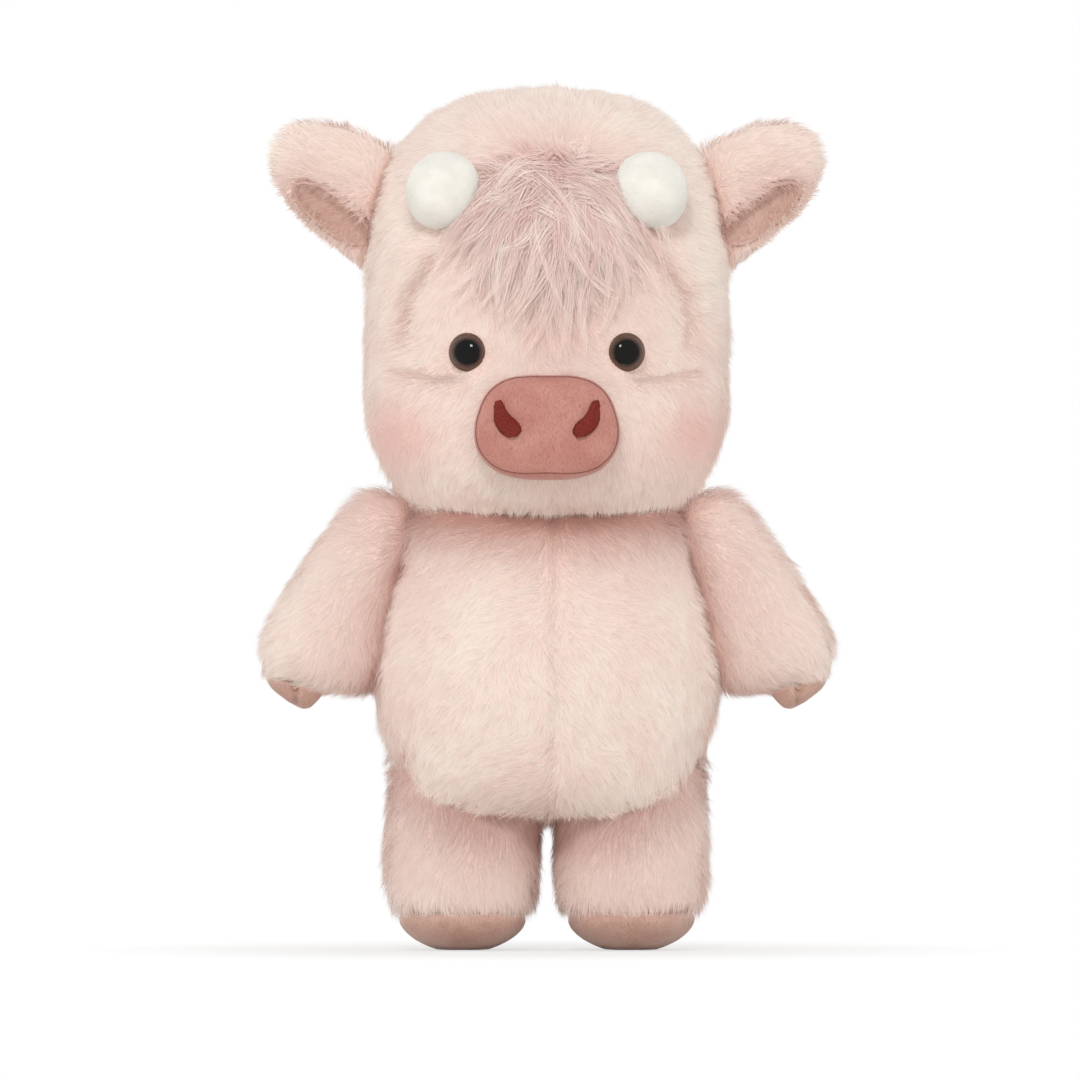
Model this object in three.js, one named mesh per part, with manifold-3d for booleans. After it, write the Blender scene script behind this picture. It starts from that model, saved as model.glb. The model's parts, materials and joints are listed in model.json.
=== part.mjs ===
// A stuffed calf toy that stands on its hind legs: fur-cloth forms, doll joints at the neck and the shoulders,
// sewn hips, ears and tail, and a squeeze-to-sound box in the belly.
// Millimetres, +Z up. The face looks along -Y and the toy's own left is +X.
import * as THREE from "three";
import { mergeVertices } from "three/addons/utils/BufferGeometryUtils.js";
import Module from "manifold-3d";

const wasm = await Module();
wasm.setup();

// Clearances and sheet thicknesses
const GAP = 0.3; // between neighbouring pieces, at rest and through a joint's travel
const WALL = 1.6; // moulded plastic
const CLOTH = 1.5; // short-pile cloth with its backing

// The stack of soft forms, from the floor up
const HOOF_HEIGHT = 13;
const LEG_DROP = 31; // from the hip axis down to the hoof
const BODY_HEIGHT = 105;
const BODY_BELOW_HIP = 3;
const HEAD_HEIGHT = 142;

// Soft forms, across and deep
const HEAD_RADIUS = 60.7;
const BODY_HALF_WIDTH = 58;
const BODY_FRONT = 51;
const BODY_BACK = 47;
const NECK_FACE_RADIUS = 30; // the flat faces that turn on each other
const LEG_HALF_WIDTH = 25.7;
const LEG_RADIUS = 25; // front to back, round about the hip axis
const LEG_SPACING = 5; // between the two legs
const SHOULDER_RISE = 23.2; // from the shoulder axis to the top of the arm
const ARM_LENGTH = 47; // from the shoulder axis to the cuff
const ARM_THICKNESS = 30; // at the shoulder axis
const ARM_HALF_DEPTH = 20;
const ARM_SLOPE = 13.5; // degrees, the flat side of the body that the arm turns on
const SHOULDER_INSET = 14; // from the body's widest place in to the top of that flat side
const SHOULDER_DROP = 17; // from there down to the shoulder axis

// The face and the horns, as places on the head
const MUZZLE_HALF_WIDTH = 24.5;
const MUZZLE_HALF_HEIGHT = 17.5;
const MUZZLE_PROUD = 8;
const MUZZLE_HEIGHT = 0.2; // share of the head's height
const NOSTRIL_LENGTH = 12.4;
const NOSTRIL_SPREAD = 13;
const NOSTRIL_PROUD = 0.9;
const EYE_RADIUS = 6;
const EYE_SPREAD = 26.8;
const EYE_HEIGHT = 0.377; // share of the head's height
const EYE_SHANK_RADIUS = 2;
const EYE_SHANK_LENGTH = 12;
const EYE_WASHER_RADIUS = 7.5;
const HORN_RADIUS = 13.1;
const HORN_LENGTH = 16;
const HORN_SPREAD = 33.5;
const HORN_HEIGHT = 0.75; // share of the head's height
const FORELOCK_WIDTH = 52;
const FORELOCK_DROP = 72;
const FORELOCK_TOP = 0.855; // share of the head's height
const FORELOCK_PROUD = 5;

// Ears, hooves and tail
const EAR_LENGTH = 35.5;
const EAR_RISE = 30.5; // from its root to its top
const EAR_THICKNESS = 17;
const EAR_ROOT = 0.72; // share of the head's height
const EAR_TILT = 14; // degrees that its front looks down
const POCKET_LENGTH = 34; // the hollow under the ear's fold
const POCKET_HEIGHT = 14;
const POCKET_DEPTH = 10;
const POCKET_SLANT = 38; // degrees that its length climbs towards the ear's tip
const POCKET_UNDERCUT = 35; // degrees that its depth leans up behind the fold
const FOOT_HALF_WIDTH = 22;
const FOOT_FRONT = 27;
const FOOT_BACK = 24;
const HAND_HALF_WIDTH = 10;
const HAND_HEIGHT = 7;
const HAND_OUTWARD = 7; // from the middle of the cuff towards its outer edge
const HAND_TURN = 24; // degrees that the hoof looks outward
const CLEFT = 0.2; // depth of a hoof's cleft, as a share of the hoof
const TAIL_RADIUS = 4.5;
const TAIL_LENGTH = 26;
const TAIL_ROOT = 0.42; // share of the body's height
const TUFT_RADIUS = 7.5;

// Doll joints
const NECK_DISC_RADIUS = 22;
const NECK_POST_RADIUS = 4;
const SHOULDER_DISC_RADIUS = 12;
const SHOULDER_POST_RADIUS = 3;
const DISC_THICKNESS = 2.5;
const PADDING = 6; // cloth and stuffing clamped on each side of a joint
const NUT_HEIGHT = 5;

// Sound box
const BOX_RADIUS = 25;
const BOX_SIDES = 28; // flats round the moulded shell
const BOX_HEIGHT = 0.54; // its middle, as a share of the body's height
const BOX_BACK = 12; // how far its back is behind the neck axis
const CELL_RADIUS = 5.8;
const CELL_LENGTH = 5.4;
const CONTACT_THICKNESS = 0.5;
const SPEAKER_RADIUS = 10.2;
const SPEAKER_DEPTH = 5;
const BOARD_THICKNESS = 1.2;
const SWITCH_SIDE = 6;
const SWITCH_HEIGHT = 2.5;
const PRESS_TRAVEL = 1.5;
const CAP_RADIUS = 15.5;
const CAP_PROUD = 3;
const SPRING_RADIUS = 8;
const SPRING_WIRE = 0.7;
const SPRING_TURNS = 2.5;
const SCREW_RADIUS = 1.2;
const SCREW_HEAD_RADIUS = 2.2;
const BOSS_RADIUS = 2.8;
const SLIT_HALF_WIDTH = 30;
const TAPE_HEIGHT = 16;
const TAPE_THICKNESS = 1.2;

// Joint ranges, in degrees, that the cut pieces leave room for
const HIP_RANGE = [-15, 15];
const EAR_RANGE = [-15, 20];
const TAIL_RANGE = [-5, 40];

// Heights and places that follow from those sizes
const HIP_Z = HOOF_HEIGHT + LEG_DROP;
const HIP_X = LEG_SPACING / 2 + LEG_HALF_WIDTH;
const BODY_BOTTOM = HIP_Z - BODY_BELOW_HIP;
const BODY_TOP = BODY_BOTTOM + BODY_HEIGHT;
const SHOULDER_HALF_WIDTH = BODY_HALF_WIDTH - SHOULDER_INSET;
const HEAD_BOTTOM = BODY_TOP + GAP;
const X_AXIS = new THREE.Vector3(1, 0, 0);
const Y_AXIS = new THREE.Vector3(0, 1, 0);
const Z_AXIS = new THREE.Vector3(0, 0, 1);
const DEGREE = Math.PI / 180;
const ROUND = 20; // flats round a small turned piece and round the hole it sits in

// A closed solid from any geometry, with its faces turned outwards
function solidOf(geometry) {
  const bare = new THREE.BufferGeometry();
  bare.setAttribute("position", geometry.getAttribute("position"));
  bare.setIndex(geometry.index);
  const merged = mergeVertices(bare, 1e-4);
  const corners = merged.index.array;
  const kept = [];
  for (let i = 0; i < corners.length; i += 3) {
    const [a, b, c] = corners.slice(i, i + 3);
    if (a !== b && b !== c && c !== a) {
      kept.push(a, b, c);
    }
  }
  const build = (faces) =>
    new wasm.Manifold(
      new wasm.Mesh({
        numProp: 3,
        vertProperties: new Float32Array(merged.attributes.position.array),
        triVerts: new Uint32Array(faces),
      }),
    );
  const solid = build(kept);
  if (solid.volume() > 0) {
    return solid;
  }
  return build(kept.slice().reverse());
}

function geometryOf(solid) {
  const mesh = solid.getMesh();
  const geometry = new THREE.BufferGeometry();
  geometry.setAttribute("position", new THREE.BufferAttribute(mesh.vertProperties, mesh.numProp));
  geometry.setIndex(new THREE.BufferAttribute(mesh.triVerts, 1));
  return geometry;
}

function moved(solid, matrix) {
  return solidOf(geometryOf(solid).applyMatrix4(matrix));
}

function mirrored(solid) {
  return moved(solid, new THREE.Matrix4().makeScale(-1, 1, 1));
}

function bothSides(solid) {
  return solid.add(mirrored(solid));
}

function joined(solids) {
  return solids.reduce((whole, solid) => whole.add(solid));
}

// A turn about an axis through a pivot
function turn(pivot, axis, degrees) {
  const there = new THREE.Matrix4().makeTranslation(pivot);
  const back = new THREE.Matrix4().makeTranslation(pivot.clone().negate());
  const spin = new THREE.Matrix4().makeRotationAxis(axis, degrees * DEGREE);
  return there.multiply(spin).multiply(back);
}

// Everything a solid passes through while it turns from one end of its range to the other
function swept(solid, pivot, axis, [low, high], steps) {
  const stops = Array.from({ length: steps + 1 }, (_, i) => low + ((high - low) * i) / steps);
  return joined(stops.map((degrees) => moved(solid, turn(pivot, axis, degrees))));
}

// A closed skin over rings of points, bottom ring first, each end closed on its apex
function loft(rings, bottomApex, topApex) {
  const count = rings[0].length;
  const last = (rings.length - 1) * count;
  const points = [...rings.flat(), bottomApex, topApex];
  const bottom = points.length - 2;
  const top = points.length - 1;
  const faces = [];
  for (let j = 0; j < count; j += 1) {
    const next = (j + 1) % count;
    for (let start = 0; start < last; start += count) {
      const low = [start + j, start + next];
      const high = [start + count + j, start + count + next];
      faces.push(low[0], low[1], high[1], low[0], high[1], high[0]);
    }
    faces.push(bottom, next, j, top, last + j, last + next);
  }
  return new THREE.BufferGeometry().setFromPoints(points).setIndex(faces);
}

// A stuffed form: smooth sections up its height through rows of [height, half-width, front, back, middle].
// A first or last row without width is the form's rounded end.
class StuffedForm {
  constructor(rows, squareness) {
    this.rows = rows;
    this.squareness = squareness;
    const columns = 5;
    const values = rows.flatMap((row) => [...row, 0].slice(0, columns));
    this.run = new THREE.CubicInterpolant(rows.map((_, i) => i), values, columns);
    this.low = rows[0][0];
    this.high = rows.at(-1)[0];
  }

  section(place) {
    const [height, half, front, back, middle] = this.run.evaluate(place);
    return { height, half, front, back, middle };
  }

  sectionAt(height) {
    let low = 0;
    let high = this.rows.length - 1;
    for (let i = 0; i < 40; i += 1) {
      const place = (low + high) / 2;
      if (this.section(place).height < height) {
        low = place;
      } else {
        high = place;
      }
    }
    return this.section(low);
  }

  // How far the surface is in front of the axis at a place on the front
  frontAt(x, height) {
    const { half, front, middle } = this.sectionAt(height);
    return this.reach(x - middle, half) * front;
  }

  backAt(x, height) {
    const { half, back, middle } = this.sectionAt(height);
    return this.reach(x - middle, half) * back;
  }

  reach(across, half) {
    return (1 - Math.abs(across / half) ** this.squareness) ** (1 / this.squareness);
  }

  // The level outward direction of the surface at a place on the front
  facing(x, height) {
    const step = 0.5;
    const slope = (this.frontAt(x + step, height) - this.frontAt(x - step, height)) / (2 * step);
    return new THREE.Vector3(-slope, -1, 0).normalize();
  }

  ring({ half, front, back, middle }, height, grow, segments) {
    const power = 2 / this.squareness;
    return Array.from({ length: segments }, (_, j) => {
      const angle = (2 * Math.PI * j) / segments;
      const across = Math.sign(Math.cos(angle)) * Math.abs(Math.cos(angle)) ** power;
      const deep = Math.sign(Math.sin(angle)) * Math.abs(Math.sin(angle)) ** power;
      const depth = deep < 0 ? front + grow : back + grow;
      return new THREE.Vector3(middle + (half + grow) * across, depth * deep, height);
    });
  }

  // The form, or a copy grown all round by a margin
  solid(grow, steps, segments) {
    const stretch = 1 + (2 * grow) / (this.high - this.low);
    const centre = (this.high + this.low) / 2;
    const lift = (height) => centre + (height - centre) * stretch;
    const rings = [];
    const apexes = [];
    for (let i = 0; i <= steps; i += 1) {
      const section = this.section(((this.rows.length - 1) * i) / steps);
      const height = lift(section.height);
      const rounded = section.half < 1e-6;
      if (!rounded) {
        rings.push(this.ring(section, height, grow, segments));
      }
      if (i === 0 || i === steps) {
        apexes.push(new THREE.Vector3(section.middle, 0, height));
      }
    }
    return solidOf(loft(rings, ...apexes));
  }
}

// A padded piece cut to an outline: the outline's points scaled by each row of [height, share]
function padded(outline, rows) {
  const apex = (row) => new THREE.Vector3(0, 0, row[0]);
  const rings = rows
    .filter((row) => row[1] > 0)
    .map(([height, share]) => outline.map((p) => new THREE.Vector3(p.x * share, p.y * share, height)));
  return loft(rings, apex(rows[0]), apex(rows.at(-1)));
}

// A smooth closed outline through a few points
function outlineThrough(pairs, count) {
  const points = pairs.map(([x, y]) => new THREE.Vector3(x, y, 0));
  return new THREE.CatmullRomCurve3(points, true, "centripetal").getPoints(count).slice(0, count);
}

// A turned piece about Z from a closed outline of [radius, height]
function turned(pairs, segments) {
  const closed = pairs.map(([r, z]) => new THREE.Vector2(r, z));
  if (pairs[0][0] > 0) {
    closed.push(closed[0].clone());
  }
  return solidOf(new THREE.LatheGeometry(closed, segments).rotateX(Math.PI / 2));
}

function rod(radius, low, high, segments = ROUND) {
  return turned([[0, low], [radius, low], [radius, high], [0, high]], segments);
}

function ringPlate(outer, inner, low, high, segments = ROUND) {
  return turned([[inner, low], [outer, low], [outer, high], [inner, high]], segments);
}

function block(size, centre) {
  const [x, y, z] = centre;
  return solidOf(new THREE.BoxGeometry(...size).translate(x, y, z));
}

// A matrix that stands a piece made along +Z on a place, along a direction
function standing(place, direction) {
  const spin = new THREE.Quaternion().setFromUnitVectors(Z_AXIS, direction.clone().normalize());
  return new THREE.Matrix4().compose(place, spin, new THREE.Vector3(1, 1, 1));
}

// A matrix that turns a piece drawn flat, x across and y up, to stand upright and face forward
function upright(place) {
  return new THREE.Matrix4().makeTranslation(place).multiply(new THREE.Matrix4().makeRotationX(Math.PI / 2));
}

const group = new THREE.Group();

function piece(name, solid, colour, roughness, metalness = 0) {
  const material = new THREE.MeshStandardMaterial({ color: colour, roughness, metalness });
  const mesh = new THREE.Mesh(geometryOf(solid), material);
  mesh.name = name;
  group.add(mesh);
}

function pair(name, solid, ...finish) {
  piece(name + "_left", solid, ...finish);
  piece(name + "_right", mirrored(solid), ...finish);
}

// Colours
const FUR = 0xecd9cf;
const FUR_PINK = 0xe8cdc6;
const SUEDE = 0xc8877d;
const HOOF = 0xa5827d;
const THREAD = 0x8c372d;
const VELVET = 0xf5f5f0;
const MANE = 0xd6b8b8;
const EAR_PINK = 0xc8a59b;
const EYE_BROWN = 0x241812;
const NYLON = 0xe6e6e0;
const CASE_WHITE = 0xf2f2ee;
const BOARD_GREEN = 0x2f6b45;
const CAP_RED = 0xd8402f;
const BLACK = 0x1c1c1e;
const STEEL = 0xb9bcc0;

// Head: a round lower part that turns freely over the shoulders, a face set back above the cheeks
const headRows = [
  [0, 0.5, 0.5, 0.5],
  [0.018, 0.66, 0.66, 0.66],
  [0.053, 0.8, 0.8, 0.8],
  [0.102, 0.9, 0.9, 0.9],
  [0.158, 0.965, 0.965, 0.965],
  [0.229, 1, 1, 1],
  [0.285, 1, 0.98, 1],
  [0.327, 1, 0.91, 1],
  [0.377, 1, 0.87, 1],
  [0.461, 1, 0.88, 1],
  [0.56, 1, 0.9, 0.98],
  [0.658, 0.965, 0.885, 0.95],
  [0.743, 0.925, 0.84, 0.9],
  [0.827, 0.867, 0.76, 0.82],
  [0.898, 0.775, 0.65, 0.71],
  [0.954, 0.62, 0.5, 0.54],
  [0.989, 0.36, 0.29, 0.31],
  [1, 0, 0, 0],
].map(([height, half, front, back]) => [
  HEAD_BOTTOM + height * HEAD_HEIGHT,
  half * HEAD_RADIUS,
  front * HEAD_RADIUS,
  back * HEAD_RADIUS,
]);
headRows[0].fill(NECK_FACE_RADIUS, 1);
const headForm = new StuffedForm(headRows, 2);
const headSolid = (grow) => headForm.solid(grow, headRows.length + 2, 32);
const headHeight = (share) => HEAD_BOTTOM + share * HEAD_HEIGHT;
const headCutter = headSolid(GAP);

// Body: a pear with shoulders that rise round the head's underside and a flat slope on each side under the arms
const bodyRows = [
  [0, 0, 0, 0],
  [0.005, 0.3, 0.3, 0.3],
  [0.014, 0.5, 0.5, 0.5],
  [0.033, 0.66, 0.66, 0.67],
  [0.071, 0.81, 0.81, 0.81],
  [0.124, 0.9, 0.89, 0.89],
  [0.2, 0.94, 0.94, 0.94],
  [0.276, 0.955, 0.965, 0.97],
  [0.343, 0.98, 0.985, 0.99],
  [0.438, 1, 1, 1],
  [0.562, 0.985, 0.98, 0.98],
  [0.724, 0.955, 0.91, 0.915],
  [0.848, 0.9, 0.83, 0.845],
  [0.938, 0.84, 0.745, 0.775],
  [1, 0.79, 0.665, 0.71],
  [1.045, 0.75, 0.6, 0.65],
].map(([height, half, front, back]) => [
  BODY_BOTTOM + height * BODY_HEIGHT,
  half * BODY_HALF_WIDTH,
  front * BODY_FRONT,
  back * BODY_BACK,
]);
const bodyForm = new StuffedForm(bodyRows, 2.2);
const bodySolid = (grow) => bodyForm.solid(grow, bodyRows.length + 2, 32);

// Shoulder axis: square to the sloped flat side, through a point on that side
const shoulderOut = new THREE.Vector3(Math.cos(ARM_SLOPE * DEGREE), 0, Math.sin(ARM_SLOPE * DEGREE));
const shoulderDown = new THREE.Vector3(Math.sin(ARM_SLOPE * DEGREE), 0, -Math.cos(ARM_SLOPE * DEGREE));
const shoulderTop = new THREE.Vector3(SHOULDER_HALF_WIDTH, 0, BODY_TOP);
const shoulderPoint = shoulderTop.clone().addScaledVector(shoulderDown, SHOULDER_DROP);
const shoulderFrame = new THREE.Matrix4()
  .makeRotationY(-ARM_SLOPE * DEGREE)
  .premultiply(new THREE.Matrix4().makeTranslation(shoulderPoint));
const alongShoulder = standing(shoulderPoint, shoulderOut);

// Arm, drawn with the shoulder axis along X, the flat side at X = 0 and the cuff below
const armRows = [
  [-1, 0.52, 0.7, 0.63],
  [-0.92, 0.68, 0.9, 0.62],
  [-0.79, 0.755, 1.015, 0.633],
  [-0.64, 0.735, 1.02, 0.605],
  [-0.47, 0.7, 1.01, 0.56],
  [-0.3, 0.66, 1, 0.505],
  [0, 0.567, 0.965, 0.433],
  [0.38, 0.495, 0.9, 0.36],
  [0.71, 0.4, 0.71, 0.32],
  [0.88, 0.29, 0.5, 0.32],
  [0.97, 0.16, 0.28, 0.335],
  [1, 0, 0, 0.35],
].map(([height, half, deep, middle]) => [
  height * (height < 0 ? ARM_LENGTH : SHOULDER_RISE),
  half * ARM_THICKNESS,
  deep * ARM_HALF_DEPTH,
  deep * ARM_HALF_DEPTH,
  middle * ARM_THICKNESS,
]);
const armForm = new StuffedForm(armRows, 2.4);
const FAR = 400; // well past the toy in every direction
const outsideSlope = block([FAR, FAR, FAR], [FAR / 2 + GAP, 0, 0]);
const insideSlope = moved(block([FAR, FAR, FAR], [-FAR / 2, 0, 0]), shoulderFrame);

// A doll joint along +Z: a disc on a post in the part that turns, a washer and a lock nut in the part that holds it
function dollJoint(discRadius, postRadius) {
  const nutRadius = 2 * postRadius;
  const discTop = PADDING + DISC_THICKNESS;
  const washerLow = -PADDING - DISC_THICKNESS;
  const nutHigh = washerLow - GAP;
  const nutLow = nutHigh - NUT_HEIGHT;
  const postEnd = nutLow - GAP;
  const hole = postRadius + GAP;
  const stud = turned(
    [
      [0, postEnd],
      [postRadius, postEnd],
      [postRadius, PADDING],
      [discRadius, PADDING],
      [discRadius, discTop],
      [0, discTop],
    ],
    ROUND,
  );
  const washer = ringPlate(discRadius, hole, washerLow, -PADDING);
  const nut = ringPlate(nutRadius, hole, nutLow, nutHigh, 12);
  const room = joined([
    rod(nutRadius + GAP, postEnd - GAP, nutHigh + GAP),
    rod(discRadius + GAP, nutHigh, -PADDING + GAP),
    rod(hole, -PADDING, PADDING),
    rod(discRadius + GAP, PADDING - GAP, discTop + GAP),
  ]);
  return { stud, washer, nut, room };
}

const neckPlace = new THREE.Matrix4().makeTranslation(0, 0, BODY_TOP);
const neckJoint = dollJoint(NECK_DISC_RADIUS, NECK_POST_RADIUS);
const neckRoom = moved(neckJoint.room, neckPlace);
piece("neck_stud", moved(neckJoint.stud, neckPlace), NYLON, 0.45);
piece("neck_washer", moved(neckJoint.washer, neckPlace), NYLON, 0.45);
piece("neck_lock_nut", moved(neckJoint.nut, neckPlace), NYLON, 0.5);

const shoulderJoint = dollJoint(SHOULDER_DISC_RADIUS, SHOULDER_POST_RADIUS);
const shoulderRoom = moved(shoulderJoint.room, alongShoulder);
pair("shoulder_stud", moved(shoulderJoint.stud, alongShoulder), NYLON, 0.45);
pair("shoulder_washer", moved(shoulderJoint.washer, alongShoulder), NYLON, 0.45);
pair("shoulder_lock_nut", moved(shoulderJoint.nut, alongShoulder), NYLON, 0.5);

function armSolid(grow) {
  const whole = armForm.solid(grow, armRows.length, 20);
  return moved(whole.intersect(outsideSlope), shoulderFrame);
}
pair("arm", armSolid(0).subtract(shoulderRoom), FUR_PINK, 0.95);

// A hoof's outline: rounded, with a cleft at the front
function hoofOutline(half, front, back, count) {
  const cleftWidth = 0.3; // radians either side of the front
  return Array.from({ length: count }, (_, j) => {
    const angle = (2 * Math.PI * (j + 0.5)) / count;
    const off = Math.abs(angle - 1.5 * Math.PI) / cleftWidth;
    const dent = off < 1 ? 1 - CLEFT * (1 - off) : 1;
    const depth = Math.sin(angle) < 0 ? front : back;
    return new THREE.Vector3(half * Math.cos(angle) * dent, depth * Math.sin(angle) * dent, 0);
  });
}

const handRows = [
  [-1, 0.5],
  [-0.85, 0.78],
  [-0.55, 0.95],
  [0, 1],
  [1, 1],
].map(([height, share]) => [height * HAND_HEIGHT, share]);
const cuff = armForm.section(0);
const handPlace = new THREE.Matrix4()
  .makeTranslation(cuff.middle + HAND_OUTWARD, 0, cuff.height)
  .multiply(new THREE.Matrix4().makeRotationY(-HAND_TURN * DEGREE))
  .premultiply(shoulderFrame);
const handOutline = hoofOutline(HAND_HALF_WIDTH, HAND_HALF_WIDTH, HAND_HALF_WIDTH, 24);
const handSolid = moved(solidOf(padded(handOutline, handRows)), handPlace);
pair("hand_hoof", handSolid.subtract(armSolid(GAP)), HOOF, 0.85);

// Leg: a straight stuffed tube with a top that is round about the hip axis
const legRows = [
  [-1, 0.9, 0.93, 0.9],
  [-0.95, 0.97, 1.01, 0.97],
  [-0.8, 1, 1.05, 1],
  [-0.45, 1, 1.03, 1],
  [-0.2, 1, 1, 1],
  [0, 1, 1, 1],
  [0.35, 0.995, 0.937, 0.937],
  [0.65, 0.95, 0.76, 0.76],
  [0.85, 0.83, 0.527, 0.527],
  [0.96, 0.62, 0.28, 0.28],
  [1, 0, 0, 0],
].map(([height, half, front, back]) => [
  HIP_Z + height * (height < 0 ? LEG_DROP : LEG_RADIUS),
  half * LEG_HALF_WIDTH,
  front * LEG_RADIUS,
  back * LEG_RADIUS,
  HIP_X,
]);
const legForm = new StuffedForm(legRows, 2.3);
const hipPoint = new THREE.Vector3(HIP_X, 0, HIP_Z);
pair("leg", legForm.solid(0, legRows.length, 22), FUR, 0.95);

// Room for the leg in the body: a socket turned about the hip axis, and a wedge below it that the leg swings in
const hipRow = legRows.findIndex(([height]) => height >= HIP_Z);
const socketSegments = 22;
const socketSpare = 1 / Math.cos(Math.PI / socketSegments); // the flats of the socket clear the leg too
const socketSide = legRows.slice(hipRow, -1).map(([height, width]) => [
  (height - HIP_Z + 2 * GAP) * socketSpare,
  -width - 2 * GAP,
]);
const socketProfile = [[0, -LEG_HALF_WIDTH - 2 * GAP], ...socketSide, [(LEG_RADIUS + 2 * GAP) * socketSpare, 0]];
const socketWhole = [...socketProfile, ...socketProfile.slice(0, -1).reverse().map(([r, w]) => [r, -w])];
const socketPlace = new THREE.Matrix4()
  .makeTranslation(hipPoint)
  .multiply(new THREE.Matrix4().makeRotationY(Math.PI / 2));
const swing = Math.max(...HIP_RANGE.map(Math.abs)) * DEGREE;
const swingRadius = Math.max(...legRows.map((row) => row[2])) + GAP;
const swingFar = swingRadius + LEG_DROP * Math.tan(swing);
const wedgeOutline = [
  [-swingRadius, swingRadius * Math.sin(swing)],
  [-swingFar, -LEG_DROP],
  [swingFar, -LEG_DROP],
  [swingRadius, swingRadius * Math.sin(swing)],
].map(([y, z]) => new THREE.Vector2(y, z));
const wedgeWidth = 2 * (LEG_HALF_WIDTH + GAP);
const wedgeShape = new THREE.Shape(wedgeOutline);
const wedge = new THREE.ExtrudeGeometry(wedgeShape, { depth: wedgeWidth, bevelEnabled: false })
  .rotateX(Math.PI / 2)
  .rotateZ(Math.PI / 2)
  .translate(HIP_X - wedgeWidth / 2, 0, HIP_Z);
const legRoom = moved(turned(socketWhole, socketSegments), socketPlace).add(solidOf(wedge));

const footRows = [
  [0, 0.56],
  [0.07, 0.68],
  [0.25, 0.84],
  [0.5, 0.95],
  [0.78, 1],
  [1, 0.98],
].map(([height, share]) => [height * (HOOF_HEIGHT - GAP), share]);
const footOutline = hoofOutline(FOOT_HALF_WIDTH, FOOT_FRONT, FOOT_BACK, 30);
const footPlace = new THREE.Matrix4().makeTranslation(HIP_X, 0, 0);
pair("foot_hoof", moved(solidOf(padded(footOutline, footRows)), footPlace), HOOF, 0.85);

// Sound box, drawn with its back on Z = 0 and its press cap towards +Z, then turned to face the belly
const boxPlace = upright(new THREE.Vector3(0, BOX_BACK, BODY_BOTTOM + BOX_HEIGHT * BODY_HEIGHT));
const boxInside = BOX_RADIUS - WALL;
const cellPitch = CELL_LENGTH + GAP;
const stackHalf = cellPitch + CELL_LENGTH / 2;
const bayX = -BOSS_RADIUS - 4 * GAP;
const bayY = -boxInside / 2;
const cellZ = WALL + GAP + CELL_RADIUS;
const boardLow = cellZ + CELL_RADIUS + GAP;
const boardHigh = boardLow + BOARD_THICKNESS;
const switchLow = boardHigh + GAP;
const switchHigh = switchLow + SWITCH_HEIGHT;
const capLow = switchHigh + PRESS_TRAVEL + GAP;
const flangeHigh = capLow + WALL;
const boxFront = flangeHigh + GAP + WALL;
const capHigh = boxFront + CAP_PROUD;
const flangeRadius = CAP_RADIUS + WALL;
const screwSpots = [1, -1].map((side) => [side * 0.94 * (boxInside - BOSS_RADIUS / 2), 0.34 * boxInside]);
const screwHole = SCREW_RADIUS + GAP;
const screwSeat = 0.7 * WALL;

function at(solid, x, y, z = 0) {
  return moved(solid, new THREE.Matrix4().makeTranslation(x, y, z));
}

function boxPiece(name, solid, ...finish) {
  piece(name, moved(solid, boxPlace), ...finish);
}

function screw(length) {
  return turned(
    [
      [0, 0],
      [SCREW_HEAD_RADIUS, 0],
      [SCREW_HEAD_RADIUS, screwSeat - GAP],
      [SCREW_RADIUS, screwSeat - GAP],
      [SCREW_RADIUS, length],
      [0, length],
    ],
    10,
  );
}

function screwRoom(length) {
  return rod(SCREW_HEAD_RADIUS + GAP, -WALL, screwSeat, 10).add(rod(screwHole, 0, length + GAP, 10));
}

const doorWidth = 2 * (stackHalf + BOSS_RADIUS + 4 * GAP);
const doorHeight = 2 * (CELL_RADIUS + GAP);
const doorScrew = [bayX + stackHalf + CONTACT_THICKNESS + BOSS_RADIUS + 3 * GAP, bayY];
const doorCentre = [bayX + BOSS_RADIUS + GAP, bayY, WALL / 2];
const doorScrewLength = cellZ;
const caseScrewLength = switchHigh;
const boss = (low, high) => rod(BOSS_RADIUS, low, high, 12);
const bossRib = block(
  [2 * SCREW_RADIUS, boxInside / 2, CELL_RADIUS],
  [doorScrew[0], bayY - boxInside / 4 - BOSS_RADIUS / 2, WALL + GAP + CELL_RADIUS / 2],
);
const boxBore = rod(boxInside + WALL / 2, 0, boxFront, BOX_SIDES);
const cup = turned(
  [
    [0, 0],
    [BOX_RADIUS, 0],
    [BOX_RADIUS, boardLow - GAP],
    [boxInside, boardLow - GAP],
    [boxInside, WALL],
    [0, WALL],
  ],
  BOX_SIDES,
);
const speakerY = boxInside - SPEAKER_RADIUS - 4 * GAP;
const soundHole = (turns) => {
  const angle = 2 * Math.PI * turns;
  const reach = SPEAKER_RADIUS / 2;
  return at(rod(WALL, -WALL, 2 * WALL, 8), reach * Math.cos(angle), speakerY + reach * Math.sin(angle));
};
const backShell = cup
  .subtract(block([doorWidth + 2 * GAP, doorHeight + 2 * GAP, 3 * WALL], doorCentre))
  .add(at(boss(WALL + GAP, doorScrewLength), ...doorScrew))
  .add(bossRib.intersect(boxBore))
  .add(joined(screwSpots.map((spot) => at(boss(WALL / 2, boardLow - GAP), ...spot))).intersect(boxBore))
  .subtract(joined([0, 0.25, 0.5, 0.75].map(soundHole)))
  .subtract(at(screwRoom(doorScrewLength), ...doorScrew))
  .subtract(joined(screwSpots.map((spot) => at(screwRoom(caseScrewLength), ...spot))));
boxPiece("case_back", backShell, CASE_WHITE, 0.5);

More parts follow.
